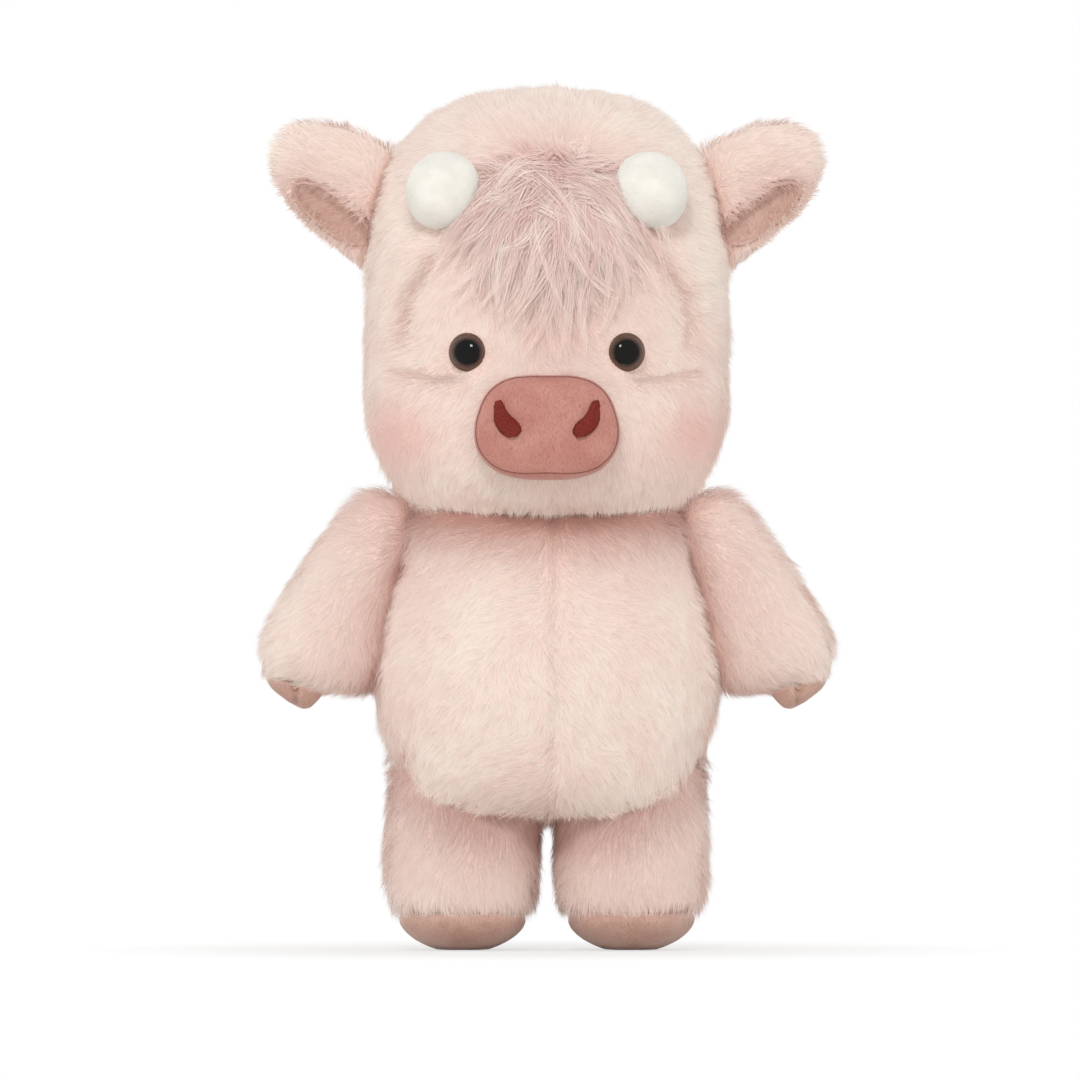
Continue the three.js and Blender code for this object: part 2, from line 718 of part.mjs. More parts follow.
const frontShell = turned(
  [
    [boxInside, boardLow],
    [BOX_RADIUS, boardLow],
    [BOX_RADIUS, boxFront],
    [CAP_RADIUS + GAP, boxFront],
    [CAP_RADIUS + GAP, boxFront - WALL],
    [boxInside, boxFront - WALL],
  ],
  BOX_SIDES,
)
  .add(joined(screwSpots.map((spot) => at(boss(boardHigh + GAP, boxFront - WALL / 2), ...spot))).intersect(boxBore))
  .subtract(joined(screwSpots.map((spot) => at(screwRoom(caseScrewLength), ...spot))));
boxPiece("case_front", frontShell, CASE_WHITE, 0.5);

const board = rod(boxInside - GAP, boardLow, boardHigh, BOX_SIDES).subtract(
  joined(screwSpots.map((spot) => at(rod(screwHole, 0, boxFront, 10), ...spot))),
);
boxPiece("circuit_board", board, BOARD_GREEN, 0.5);
const switchBody = 0.7 * SWITCH_HEIGHT;
const switchBase = block([SWITCH_SIDE, SWITCH_SIDE, switchBody], [0, 0, switchLow + switchBody / 2]);
boxPiece("tact_switch", switchBase.add(rod(SWITCH_SIDE / 4, switchLow, switchHigh, 16)), BLACK, 0.5);
const cap = turned(
  [
    [0, capLow],
    [flangeRadius, capLow],
    [flangeRadius, flangeHigh],
    [CAP_RADIUS, flangeHigh],
    [CAP_RADIUS, capHigh - WALL],
    [CAP_RADIUS - WALL, capHigh - WALL / 3],
    [0, capHigh],
  ],
  BOX_SIDES,
);
boxPiece("press_cap", cap, CAP_RED, 0.45);

const springLow = boardHigh + GAP + SPRING_WIRE;
const springHigh = capLow - GAP - SPRING_WIRE;
const springTurn = 12; // points on each turn
const springPath = new THREE.CatmullRomCurve3(
  Array.from({ length: SPRING_TURNS * springTurn + 1 }, (_, i) => {
    const angle = (2 * Math.PI * i) / springTurn;
    const rise = ((springHigh - springLow) * i) / (SPRING_TURNS * springTurn);
    return new THREE.Vector3(SPRING_RADIUS * Math.cos(angle), SPRING_RADIUS * Math.sin(angle), springLow + rise);
  }),
);
const wireShape = new THREE.Shape().absarc(0, 0, SPRING_WIRE / 2, 0, 2 * Math.PI);
const springCoil = new THREE.ExtrudeGeometry(wireShape, {
  extrudePath: springPath,
  steps: SPRING_TURNS * springTurn,
  curveSegments: 3,
  bevelEnabled: false,
});
boxPiece("return_spring", solidOf(springCoil), STEEL, 0.3, 0.9);

const speakerRim = WALL + GAP;
const speaker = turned(
  [
    [0, speakerRim + WALL],
    [SPEAKER_RADIUS - WALL, speakerRim],
    [SPEAKER_RADIUS, speakerRim],
    [SPEAKER_RADIUS, speakerRim + WALL],
    [SPEAKER_RADIUS / 2, speakerRim + SPEAKER_DEPTH - WALL],
    [SPEAKER_RADIUS / 2, speakerRim + SPEAKER_DEPTH],
    [0, speakerRim + SPEAKER_DEPTH],
  ],
  ROUND,
);
boxPiece("speaker", at(speaker, 0, speakerY), BLACK, 0.6);

const cellPlace = (index) =>
  new THREE.Matrix4()
    .makeTranslation(bayX + (index - 2) * cellPitch, bayY, cellZ)
    .multiply(new THREE.Matrix4().makeRotationY(Math.PI / 2));
for (const index of [1, 2, 3]) {
  const cell = rod(CELL_RADIUS, -CELL_LENGTH / 2, CELL_LENGTH / 2);
  boxPiece("battery_cell_" + index, moved(cell, cellPlace(index)), STEEL, 0.25, 0.9);
}
const contactLow = cellZ - CELL_RADIUS / 2;
const contactHigh = boardLow - GAP;
const contact = (side) =>
  block(
    [CONTACT_THICKNESS, CELL_RADIUS, contactHigh - contactLow],
    [bayX + side * (stackHalf + GAP + CONTACT_THICKNESS / 2), bayY, (contactLow + contactHigh) / 2],
  );
boxPiece("contact_positive", contact(1), STEEL, 0.3, 0.9);
boxPiece("contact_negative", contact(-1), STEEL, 0.3, 0.9);

const doorPlate = block([doorWidth, doorHeight, WALL], doorCentre);
const door = doorPlate.subtract(at(screwRoom(doorScrewLength), ...doorScrew));
boxPiece("battery_door", door, CASE_WHITE, 0.5);
boxPiece("battery_door_screw", at(screw(doorScrewLength - GAP), ...doorScrew), STEEL, 0.3, 0.9);
screwSpots.forEach((spot, i) => {
  boxPiece("case_screw_" + (i + 1), at(screw(caseScrewLength - GAP), ...spot), STEEL, 0.3, 0.9);
});
const boxRoom = moved(rod(BOX_RADIUS + GAP, -GAP, capHigh + GAP, BOX_SIDES), boxPlace);

// The slit in the back that the sound box goes in through, with its two tapes face to face
const slitZ = BODY_BOTTOM + BOX_HEIGHT * BODY_HEIGHT;
const tapeBack = bodyForm.backAt(SLIT_HALF_WIDTH, slitZ) - CLOTH;
const slitSize = [2 * SLIT_HALF_WIDTH, FAR / 2, 2 * TAPE_THICKNESS + 3 * GAP];
const slitRoom = block(slitSize, [0, BOX_BACK + FAR / 4, slitZ]);
const tape = (side) =>
  block(
    [2 * (SLIT_HALF_WIDTH - GAP), TAPE_HEIGHT, TAPE_THICKNESS],
    [0, tapeBack - TAPE_HEIGHT / 2, slitZ + (side * (TAPE_THICKNESS + GAP)) / 2],
  );
piece("loop_tape", tape(1), FUR, 0.95);
piece("hook_tape", tape(-1), FUR, 0.8);

const body = bodySolid(0)
  .intersect(insideSlope)
  .intersect(mirrored(insideSlope))
  .subtract(headCutter)
  .subtract(bothSides(legRoom))
  .subtract(bothSides(shoulderRoom))
  .subtract(neckRoom)
  .subtract(boxRoom)
  .subtract(slitRoom);
piece("body", body, FUR, 0.95);

// Tail: a short stuffed cord with a tuft, hung on the back seam
const tailZ = BODY_BOTTOM + TAIL_ROOT * BODY_HEIGHT;
const tailPoint = new THREE.Vector3(0, bodyForm.backAt(0, tailZ), tailZ);
const tailPath = new THREE.CatmullRomCurve3(
  [
    [-0.25, 0.1],
    [0.05, 0],
    [0.26, -0.18],
    [0.36, -0.5],
    [0.4, -1],
  ].map(([back, up]) => tailPoint.clone().add(new THREE.Vector3(0, back * TAIL_LENGTH, up * TAIL_LENGTH))),
);
const tailTube = (radius) =>
  solidOf(
    new THREE.ExtrudeGeometry(new THREE.Shape().absarc(0, 0, radius, 0, 2 * Math.PI), {
      extrudePath: tailPath,
      steps: 12,
      curveSegments: 7,
      bevelEnabled: false,
    }),
  );
const [tailLow, tailHigh] = TAIL_RANGE;
const tailKeepOut = swept(bodySolid(GAP), tailPoint, X_AXIS, [-tailHigh, -tailLow], 2);
piece("tail", tailTube(TAIL_RADIUS).subtract(tailKeepOut), FUR_PINK, 0.95);
const tuftRows = [
  [-1.9, 0],
  [-1.75, 0.3],
  [-1.2, 0.72],
  [-0.5, 1],
  [0, 0.97],
  [0.5, 0.75],
].map(([height, share]) => [share * TUFT_RADIUS, height * TUFT_RADIUS]);
const tuftSolid = turned([...tuftRows, [0, tuftRows.at(-1)[1]]], ROUND);
const tuftPlace = new THREE.Matrix4().makeTranslation(tailPath.getPoint(1));
piece("tail_tuft", moved(tuftSolid, tuftPlace).subtract(tailTube(TAIL_RADIUS + GAP)), MANE, 0.95);

// Eye, drawn looking along +Z with its rim on Z = 0
const eyeRise = 0.72 * EYE_RADIUS;
const eye = turned(
  [
    [0, -EYE_SHANK_LENGTH],
    [EYE_SHANK_RADIUS, -EYE_SHANK_LENGTH],
    [EYE_SHANK_RADIUS, 0],
    [EYE_RADIUS, 0],
    [0.98 * EYE_RADIUS, 0.3 * eyeRise],
    [0.8 * EYE_RADIUS, 0.68 * eyeRise],
    [0.45 * EYE_RADIUS, 0.93 * eyeRise],
    [0, eyeRise],
  ],
  ROUND,
);
const washerHigh = -PADDING;
const washerLow = washerHigh - WALL;
const eyeWasher = ringPlate(EYE_WASHER_RADIUS, EYE_SHANK_RADIUS + GAP, washerLow, washerHigh);
const eyeRoom = joined([
  rod(EYE_SHANK_RADIUS + GAP, -EYE_SHANK_LENGTH - GAP, 0),
  rod(EYE_WASHER_RADIUS + GAP, washerLow - GAP, washerHigh + GAP),
  rod(EYE_RADIUS + GAP, -GAP, 2 * EYE_RADIUS),
]);
const eyeZ = headHeight(EYE_HEIGHT);
const eyeFacing = headForm.facing(EYE_SPREAD, eyeZ);
const eyeSeat = new THREE.Vector3(EYE_SPREAD, -headForm.frontAt(EYE_SPREAD, eyeZ), eyeZ);
const eyePlace = standing(eyeSeat.addScaledVector(eyeFacing, -CLOTH / 2), eyeFacing);
pair("eye", moved(eye, eyePlace), EYE_BROWN, 0.08);
pair("eye_washer", moved(eyeWasher, eyePlace), NYLON, 0.5);

piece("head", headSolid(0).subtract(neckRoom).subtract(bothSides(moved(eyeRoom, eyePlace))), FUR, 0.95);

// Muzzle: a pad with a narrow flat top and a full rounded chin side
const muzzleSide = [
  [0, 1],
  [0.5, 0.97],
  [0.8, 0.72],
  [0.95, 0.3],
  [1, -0.12],
  [0.93, -0.5],
  [0.72, -0.82],
  [0.4, -0.97],
  [0, -1],
];
const muzzleOtherSide = muzzleSide.slice(1, -1).reverse().map(([x, y]) => [-x, y]);
const muzzleWhole = [...muzzleSide, ...muzzleOtherSide].reverse();
const muzzleZ = headHeight(MUZZLE_HEIGHT);
const muzzlePlace = upright(new THREE.Vector3(0, -headForm.frontAt(0, muzzleZ), muzzleZ));
function muzzleSolid(grow) {
  const across = MUZZLE_HALF_WIDTH + grow;
  const tall = MUZZLE_HALF_HEIGHT + grow;
  const outline = outlineThrough(muzzleWhole.map(([x, y]) => [x * across, y * tall]), 28);
  const rows = [
    [-2, 1],
    [0.12, 1],
    [0.36, 0.975],
    [0.58, 0.91],
    [0.77, 0.79],
    [0.9, 0.61],
    [0.97, 0.36],
    [1, 0],
  ].map(([height, share]) => [height * (MUZZLE_PROUD + grow), share]);
  return moved(solidOf(padded(outline, rows)), muzzlePlace);
}
piece("muzzle", muzzleSolid(0).subtract(headCutter), SUEDE, 0.8);

// A prism of an outline drawn in the front view, from a place on the toy forward
function frontPrism(outline, place) {
  const shape = new THREE.Shape(outline.map((p) => new THREE.Vector2(p.x, p.y)));
  const prism = new THREE.ExtrudeGeometry(shape, { depth: FAR / 2, bevelEnabled: false });
  return moved(solidOf(prism), upright(place));
}

const nostrilOutline = outlineThrough(
  [
    [0.26, 0.5],
    [0.1, 0.3],
    [-0.04, 0.08],
    [-0.27, -0.12],
    [-0.37, -0.34],
    [-0.2, -0.5],
    [0.12, -0.42],
    [0.34, -0.12],
    [0.36, 0.24],
  ].map(([x, y]) => [x * NOSTRIL_LENGTH, y * NOSTRIL_LENGTH]),
  20,
);
const nostrilZ = muzzleZ + 0.17 * MUZZLE_HALF_HEIGHT;
const nostrilPlace = new THREE.Vector3(NOSTRIL_SPREAD, -headForm.frontAt(0, muzzleZ), nostrilZ);
const stitchedLayer = muzzleSolid(GAP + NOSTRIL_PROUD).subtract(muzzleSolid(GAP));
pair("nostril", frontPrism(nostrilOutline, nostrilPlace).intersect(stitchedLayer), THREAD, 0.6);

// Horn: a short egg-shaped velvet stub that points forward, up and outward
const hornRows = [
  [0, -0.9],
  [0.86, -0.9],
  [0.97, -0.35],
  [1, 0],
  [0.97, 0.27],
  [0.88, 0.52],
  [0.72, 0.74],
  [0.5, 0.89],
  [0.25, 0.975],
  [0, 1],
];
const hornZ = headHeight(HORN_HEIGHT);
const hornSeat = new THREE.Vector3(HORN_SPREAD, -headForm.frontAt(HORN_SPREAD, hornZ), hornZ);
const hornDirection = new THREE.Vector3(0.12, -0.93, 0.3);
const hornPlace = standing(hornSeat, hornDirection);
function hornSolid(grow) {
  const rows = hornRows.map(([r, z]) => [r * (HORN_RADIUS + grow), z * (HORN_LENGTH + grow)]);
  return moved(turned(rows, ROUND), hornPlace);
}
pair("horn", hornSolid(0).subtract(headCutter), VELVET, 0.9);

// Forelock: a tuft that lies on the forehead between the horns and comes to a point between the eyes
const forelockTop = headHeight(FORELOCK_TOP);
const forelockOutline = outlineThrough(
  [
    [0, 0],
    [-0.5, -0.02],
    [-0.86, -0.1],
    [-0.95, -0.25],
    [-0.8, -0.44],
    [-0.5, -0.66],
    [-0.2, -0.88],
    [0, -1],
    [0.2, -0.88],
    [0.5, -0.66],
    [0.8, -0.44],
    [0.95, -0.25],
    [0.86, -0.1],
    [0.5, -0.02],
  ].map(([x, y]) => [(x * FORELOCK_WIDTH) / 2, y * FORELOCK_DROP]),
  28,
);
const forelockMiddle = new THREE.Vector3(0, -0.4 * FORELOCK_DROP, 0);
const forelockRing = ([proud, share]) =>
  forelockOutline.map((p) => {
    const spot = p.clone().sub(forelockMiddle).multiplyScalar(share).add(forelockMiddle);
    const height = forelockTop + spot.y;
    return new THREE.Vector3(spot.x, -headForm.frontAt(spot.x, height) - proud * FORELOCK_PROUD, height);
  });
const forelockApex = (proud) => {
  const height = forelockTop + forelockMiddle.y;
  return new THREE.Vector3(0, -headForm.frontAt(0, height) - proud * FORELOCK_PROUD, height);
};
const forelockRings = [
  [-2, 1],
  [0.35, 1],
  [0.7, 0.94],
  [0.92, 0.8],
  [1, 0.5],
].map(forelockRing);
const forelockLoft = solidOf(loft(forelockRings, forelockApex(-2), forelockApex(1)));
piece("forelock", forelockLoft.subtract(headCutter).subtract(bothSides(hornSolid(GAP))), MANE, 0.95);

// Ear, drawn flat with its root at the origin, its length along +X and its front towards +Z:
// a pillow whose upper part folds over a lined pocket
const earOutline = outlineThrough(
  [
    [-0.28, -0.44],
    [-0.03, -0.77],
    [0.25, -0.61],
    [0.535, -0.31],
    [0.79, -0.035],
    [0.96, 0.29],
    [1, 0.59],
    [0.93, 0.85],
    [0.7, 1],
    [0.37, 0.98],
    [0.03, 0.82],
    [-0.25, 0.56],
  ].map(([x, y]) => [x * EAR_LENGTH, y * EAR_RISE]),
  26,
);
const earMiddle = new THREE.Vector3(0.42 * EAR_LENGTH, 0.24 * EAR_RISE, 0);
const earRows = [
  [-0.5, 0],
  [-0.46, 0.5],
  [-0.34, 0.8],
  [-0.1, 0.97],
  [0.1, 1],
  [0.29, 0.93],
  [0.42, 0.76],
  [0.49, 0.45],
  [0.5, 0],
];
function earLeaf(scale) {
  const outline = earOutline.map((p) => p.clone().sub(earMiddle).multiplyScalar(scale));
  const rows = earRows.map(([height, share]) => [height * scale * EAR_THICKNESS, share]);
  return solidOf(padded(outline, rows).translate(...earMiddle));
}
const pocketMiddle = [0.44 * EAR_LENGTH, -0.02 * EAR_RISE, 0.45 * EAR_THICKNESS];
function pocket(shrink) {
  const ball = new THREE.SphereGeometry(1, 16, 8);
  ball.scale(POCKET_LENGTH / 2 - shrink, POCKET_HEIGHT / 2 - shrink, POCKET_DEPTH - shrink);
  ball.rotateX(POCKET_UNDERCUT * DEGREE).rotateZ(POCKET_SLANT * DEGREE);
  return solidOf(ball.translate(...pocketMiddle));
}
const earZ = headHeight(EAR_ROOT);
const earPoint = new THREE.Vector3(headForm.sectionAt(earZ).half, 0, earZ);
const earSpin = new THREE.Matrix4().makeRotationX((90 + EAR_TILT) * DEGREE);
const earPlace = new THREE.Matrix4().makeTranslation(earPoint).multiply(earSpin);
const earAxis = new THREE.Vector3(0, Math.sin(-EAR_TILT * DEGREE), Math.cos(EAR_TILT * DEGREE));
const [earLow, earHigh] = EAR_RANGE;
const earKeepOut = swept(headCutter, earPoint, earAxis, [-earHigh, -earLow], 2);
pair("ear", moved(earLeaf(1).subtract(pocket(0)), earPlace).subtract(earKeepOut), FUR, 0.95);
const liningReach = 0.93; // share of the ear's size that its lining ends at
const lining = pocket(GAP).subtract(pocket(GAP + CLOTH)).intersect(earLeaf(liningReach));
pair("ear_lining", moved(lining, earPlace).subtract(earKeepOut), EAR_PINK, 0.9);

// The box's middle goes to the origin, front to back, and the joints' places go with it
const outer = new THREE.Box3().setFromObject(group);
const shift = new THREE.Vector3(0, -(outer.min.y + outer.max.y) / 2, 0);
group.children.forEach((mesh) => mesh.geometry.translate(...shift));
const joint = (place, axis) => ({ place: place.clone().add(shift).toArray(), axis: axis.toArray() });
group.userData.joints = {
  neck_turn: joint(new THREE.Vector3(0, 0, BODY_TOP), Z_AXIS),
  shoulder_left: joint(shoulderPoint, shoulderOut),
  hip_left: joint(hipPoint, X_AXIS),
  ear_left: joint(earPoint, earAxis),
  tail_swing: joint(tailPoint, X_AXIS),
  press: joint(new THREE.Vector3(0, BOX_BACK, slitZ), Y_AXIS),
};

export default group;
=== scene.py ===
# The looks of a stuffed calf toy: skins with a combed pile, padded suede, velvet horns and glossy eyes.
import json
import math
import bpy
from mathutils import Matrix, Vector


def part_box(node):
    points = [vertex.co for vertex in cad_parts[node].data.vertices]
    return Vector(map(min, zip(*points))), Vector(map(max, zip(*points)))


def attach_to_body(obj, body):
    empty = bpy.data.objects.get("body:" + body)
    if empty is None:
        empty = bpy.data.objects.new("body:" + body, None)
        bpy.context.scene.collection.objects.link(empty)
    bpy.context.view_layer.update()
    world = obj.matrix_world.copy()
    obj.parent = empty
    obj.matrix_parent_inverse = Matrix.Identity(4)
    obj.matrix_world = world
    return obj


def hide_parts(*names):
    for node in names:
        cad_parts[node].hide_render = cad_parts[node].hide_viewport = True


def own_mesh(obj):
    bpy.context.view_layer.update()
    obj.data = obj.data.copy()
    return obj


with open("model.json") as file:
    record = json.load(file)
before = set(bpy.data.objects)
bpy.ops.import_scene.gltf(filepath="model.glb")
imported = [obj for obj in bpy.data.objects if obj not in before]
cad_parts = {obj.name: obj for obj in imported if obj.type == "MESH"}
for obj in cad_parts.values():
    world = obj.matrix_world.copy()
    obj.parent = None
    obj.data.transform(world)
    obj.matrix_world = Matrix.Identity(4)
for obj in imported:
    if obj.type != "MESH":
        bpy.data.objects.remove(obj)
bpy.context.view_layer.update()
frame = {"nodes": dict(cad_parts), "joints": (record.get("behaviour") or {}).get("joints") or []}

import zlib

import bmesh
import bpy
import numpy as np
from mathutils import Vector
from mathutils.bvhtree import BVHTree
from mathutils.kdtree import KDTree

MM = 0.001
SIDES = ("left", "right")
scene = bpy.context.scene
nodes = frame["nodes"]
scene.view_settings.view_transform = "Standard"

# The fur cloth: how deep the pile stands, how long its strands are and how many there are
PILE_DEPTH = 2.0 * MM
PILE_LENGTH = 6.5 * MM
STRAND_WIDTH = 0.26 * MM
STRANDS_PER_MM2 = 2.7
LEAN = (54, 76)  # degrees from the skin's normal, along a strand
ROLL = 32  # the most degrees that a strand is turned about its length
TAPER = 0.6  # a strand's width goes with this power of what is left of its length
SKIN_NORMAL = 0.8  # how far a strand takes the light as the skin under it does
OWN_NORMAL = 0.35  # and as its own face does
MOST_STRANDS = 65000  # in one piece
TUFT_STRANDS = 10  # strands that draw together
TUFT_PULL = 0.35
BARE_MARGIN = 0.4 * MM  # no strand grows this near another piece
FULL_MARGIN = 4.0 * MM  # strands have their full length this far from one
SWIRL_SIZE = 38 * MM  # the combing turns from place to place over about this size
TUFT_SIZE = 9 * MM  # and tufts turn over this one
TUFT_TURN = 16  # degrees
STRAY_TURN = 9  # degrees that single strands turn by themselves
LIFT_SIZE = 14 * MM  # the pile stands higher or lower over this size
LIFT = 6  # degrees
STRAY_LIFT = 7  # degrees that single strands rise by themselves
LEAN_LIMITS = (10, 86)  # degrees

# The stuffing
STUFFING_FRAMES = 30
STUFFING_PRESSURE = 3000.0
CLOTH_MASS = 0.002  # kg for each corner of the cloth
SWELL = 1.2 * MM  # the most that the stuffing moves the cloth
MEAN_SWELL = {"head": 0.7 * MM, "body": 0.6 * MM, "limb": 0.2 * MM}  # about as far as it moves most of it
PIN_MARGIN = 6.0 * MM  # the cloth is held where it is this near another piece
WELD = 0.005 * MM  # corners this near each other are one
CONTACT = 0.6 * MM  # cloth this near its neighbour touches it
OPEN_AIR = 5.0 * MM  # cloth this far from it carries its full pile
SEAT = 0.2 * MM  # how far cloth stays back from what it touches


# Points of the frame that the looks are placed by
def middle(node):
    low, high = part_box(node)
    return (low + high) / 2


def anchor_of(joint_name):
    joint = next(joint for joint in frame["joints"] if joint["name"] == joint_name)
    return Vector(joint["pos_m"])


# Arrays
def unit(vectors):
    return vectors / np.maximum(np.linalg.norm(vectors, axis=-1, keepdims=True), 1e-12)


def smoothstep(low, high, value):
    share = np.clip((value - low) / (high - low), 0, 1)
    return share * share * (3 - 2 * share)


def bell(value, width):
    """1 where a value is 0, falling to nothing over a few widths."""
    return np.exp(-((value / width) ** 2))


def to_front(facing, least, full):
    """How far faces are turned to the front: 0 up to a least share of the way, 1 from a full one."""
    return smoothstep(least, full, -facing[:, 1])


def patch(points, x, z, width, height):
    """A soft oval in the front view, and its mirror image: 1 in its middle, falling to nothing round it."""
    return bell(np.abs(points[:, 0]) - x, width) * bell(points[:, 2] - z, height)


def dice_for(name):
    return np.random.default_rng(zlib.crc32(name.encode()))


def ripple(points, size, name, waves=7):
    """Smooth noise from about -1 to 1 that changes over a given size."""
    dice = dice_for(name)
    directions = unit(dice.normal(size=(waves, 3)))
    rates = 2 * math.pi / size * (0.6 + 0.8 * dice.random(waves))
    phases = 2 * math.pi * dice.random(waves)
    return np.sin(points @ (directions * rates[:, None]).T + phases).sum(1) / math.sqrt(waves)


# Meshes
def vectors_of(items, field):
    flat = np.empty(3 * len(items), np.float32)
    items.foreach_get(field, flat)
    return flat.reshape(-1, 3).astype(float)


def points_of(mesh):
    return vectors_of(mesh.vertices, "co")


def normals_of(mesh):
    return vectors_of(mesh.vertex_normals, "vector")


def set_points(mesh, points):
    mesh.vertices.foreach_set("co", points.astype(np.float32).ravel())
    mesh.update()


def push(obj, distances):
    """Moves each corner of a mesh along its normal."""
    set_points(obj.data, points_of(obj.data) + distances[:, None] * normals_of(obj.data))


def new_object(name, mesh):
    obj = bpy.data.objects.new(name, mesh)
    scene.collection.objects.link(obj)
    return obj


def apply_modifiers(obj):
    graph = bpy.context.evaluated_depsgraph_get()
    made = bpy.data.meshes.new_from_object(obj.evaluated_get(graph))
    obj.modifiers.clear()
    obj.data = made


def shade_smooth(obj):
    obj.data.polygons.foreach_set("use_smooth", [True] * len(obj.data.polygons))


def gathered(node_names):
    """Some CAD solids as one form."""
    form = bmesh.new()
    for node in node_names:
        form.from_mesh(nodes[node].data)
    return form


def copy_of(name, node_names):
    """A new object with copies of some CAD solids, their corners welded."""
    form = gathered(node_names)
    bmesh.ops.remove_doubles(form, verts=form.verts, dist=WELD)
    mesh = bpy.data.meshes.new(name)
    form.to_mesh(mesh)
    form.free()
    mesh.materials.clear()
    return new_object(name, mesh)


def tree_of(node_names):
    """A search tree over the faces of some CAD solids."""
    form = gathered(node_names)
    tree = BVHTree.FromBMesh(form)
    form.free()
    return tree


def clearance(points, node_names, most=20 * MM):
    """How far each point is from the nearest of some CAD solids, up to a limit."""
    if not node_names:
        return np.full(len(points), most)
    tree = tree_of(node_names)
    found = [tree.find_nearest(Vector(point), most)[3] for point in points]
    return np.array([most if distance is None else distance for distance in found])


def remesh(obj, voxel, smoothing):
    modifier = obj.modifiers.new("Cloth grid", "REMESH")
    modifier.mode = "VOXEL"
    modifier.voxel_size = voxel
    softener = obj.modifiers.new("Soften", "SMOOTH")
    softener.factor = 0.5
    softener.iterations = smoothing
    apply_modifiers(obj)


def inset(obj, depth, neighbours):
    """Sets a skin back by the depth of its pile, but not where it meets its neighbours."""
    bare = smoothstep(CONTACT, OPEN_AIR, clearance(points_of(obj.data), neighbours))
    push(obj, -(SEAT + (depth - SEAT) * bare))


def subdivide(obj, levels):
    modifier = obj.modifiers.new("Smooth", "SUBSURF")
    modifier.levels = levels
    apply_modifiers(obj)
    shade_smooth(obj)


# Stuffing: each skin is blown up from a slightly smaller shape, held where it meets its neighbours
def cut_skin(name, node_names, neighbours, depth, voxel, smoothing=6):
    skin = copy_of(name, node_names)
    remesh(skin, voxel, smoothing)
    inset(skin, depth, neighbours)
    return skin


def add_stuffing(skin, held):
    group = skin.vertex_groups.new(name="held")
    group.add(np.flatnonzero(held).tolist(), 1.0, "REPLACE")
    cloth = skin.modifiers.new("Stuffing", "CLOTH")
    cloth.settings.mass = CLOTH_MASS
    cloth.settings.use_pressure = True
    cloth.settings.uniform_pressure_force = STUFFING_PRESSURE
    cloth.settings.vertex_group_mass = group.name
    cloth.settings.effector_weights.gravity = 0
    cloth.point_cache.frame_end = STUFFING_FRAMES


def stuff(skins_and_neighbours):
    """Runs the cloth of all the skins together and keeps its result in their meshes."""
    before = {}
    for skin, neighbours in skins_and_neighbours:
        before[skin] = points_of(skin.data)
        add_stuffing(skin, clearance(before[skin], neighbours) < PIN_MARGIN)
    for number in range(1, STUFFING_FRAMES + 1):
        scene.frame_set(number)
    graph = bpy.context.evaluated_depsgraph_get()
    after = {skin: points_of(skin.evaluated_get(graph).data) for skin in before}
    for skin, start in before.items():
        move = after[skin] - start
        distance = np.linalg.norm(move, axis=1, keepdims=True)
        skin.modifiers.clear()
        skin.vertex_groups.clear()
        set_points(skin.data, start + move * np.minimum(1, SWELL / np.maximum(distance, 1e-9)))
    scene.frame_set(1)


# Pile: tapered strands, each a narrow ribbon that lies the way the cloth is combed
def strand_mesh(name, paths, facing, widths, rolls, tints):
    """One mesh of ribbons. paths is strands x stations x 3, tints holds three values for each strand."""
    count, stations, _ = paths.shape
    steps = unit(np.gradient(paths, axis=1))
    outward = np.broadcast_to(facing[:, None, :], paths.shape)
    across = unit(np.cross(steps, outward))
    lifted = np.cross(across, steps)
    rolls = rolls[:, None, None]
    edge = across * np.cos(rolls) + lifted * np.sin(rolls)
    share = np.linspace(0, 1, stations)
    half = 0.5 * widths[:, None, None] * (1 - share[None, :, None]) ** TAPER
    left = paths - edge * half
    right = paths + edge * half
    pairs = np.stack([left, right], 2)[:, :-1].reshape(count, -1, 3)
    points = np.concatenate([pairs, paths[:, -1:]], 1)
    each = points.shape[1]
    faces = []
    for low in range(0, each - 3, 2):
        faces += [(low, low + 1, low + 3), (low, low + 3, low + 2)]
    faces.append((each - 3, each - 2, each - 1))
    corners = (np.arange(count)[:, None, None] * each + np.array(faces)[None]).reshape(-1).astype(np.int32)

    mesh = bpy.data.meshes.new(name)
    mesh.vertices.add(count * each)
    mesh.vertices.foreach_set("co", points.astype(np.float32).ravel())
    mesh.loops.add(len(corners))
    mesh.loops.foreach_set("vertex_index", corners)
    mesh.polygons.add(len(corners) // 3)
    mesh.polygons.foreach_set("loop_start", np.arange(0, len(corners), 3, dtype=np.int32))
    mesh.update(calc_edges=True)

    own = (lifted * np.cos(rolls) - across * np.sin(rolls)).mean(1)
    soft_normals = unit(SKIN_NORMAL * facing + OWN_NORMAL * own)
    normals = mesh.attributes.new("custom_normal", "FLOAT_VECTOR", "POINT")
    normals.data.foreach_set("vector", np.repeat(soft_normals, each, 0).astype(np.float32).ravel())

    along = np.append(np.repeat(share[:-1], 2), 1.0)
    tone, blush, mauve = tints.T[:, :, None]
    kept = np.stack(np.broadcast_arrays(tone, along, blush, mauve), -1)
    pile = mesh.color_attributes.new("pile", "FLOAT_COLOR", "POINT")
    pile.data.foreach_set("color", kept.astype(np.float32).ravel())

    grid = math.ceil(math.sqrt(count))
    cell = np.stack([np.arange(count) % grid, np.arange(count) // grid], 1)[:, None, :]
    spread = np.append(np.tile([0.12, 0.88], stations - 1), 0.5)
    place = np.stack([spread, 0.1 + 0.8 * along], 1)[None]
    plan = ((cell + place) / grid).reshape(-1, 2)
    layer = mesh.uv_layers.new(name="OFBake")
    layer.data.foreach_set("uv", plan[corners].astype(np.float32).ravel())
    return mesh


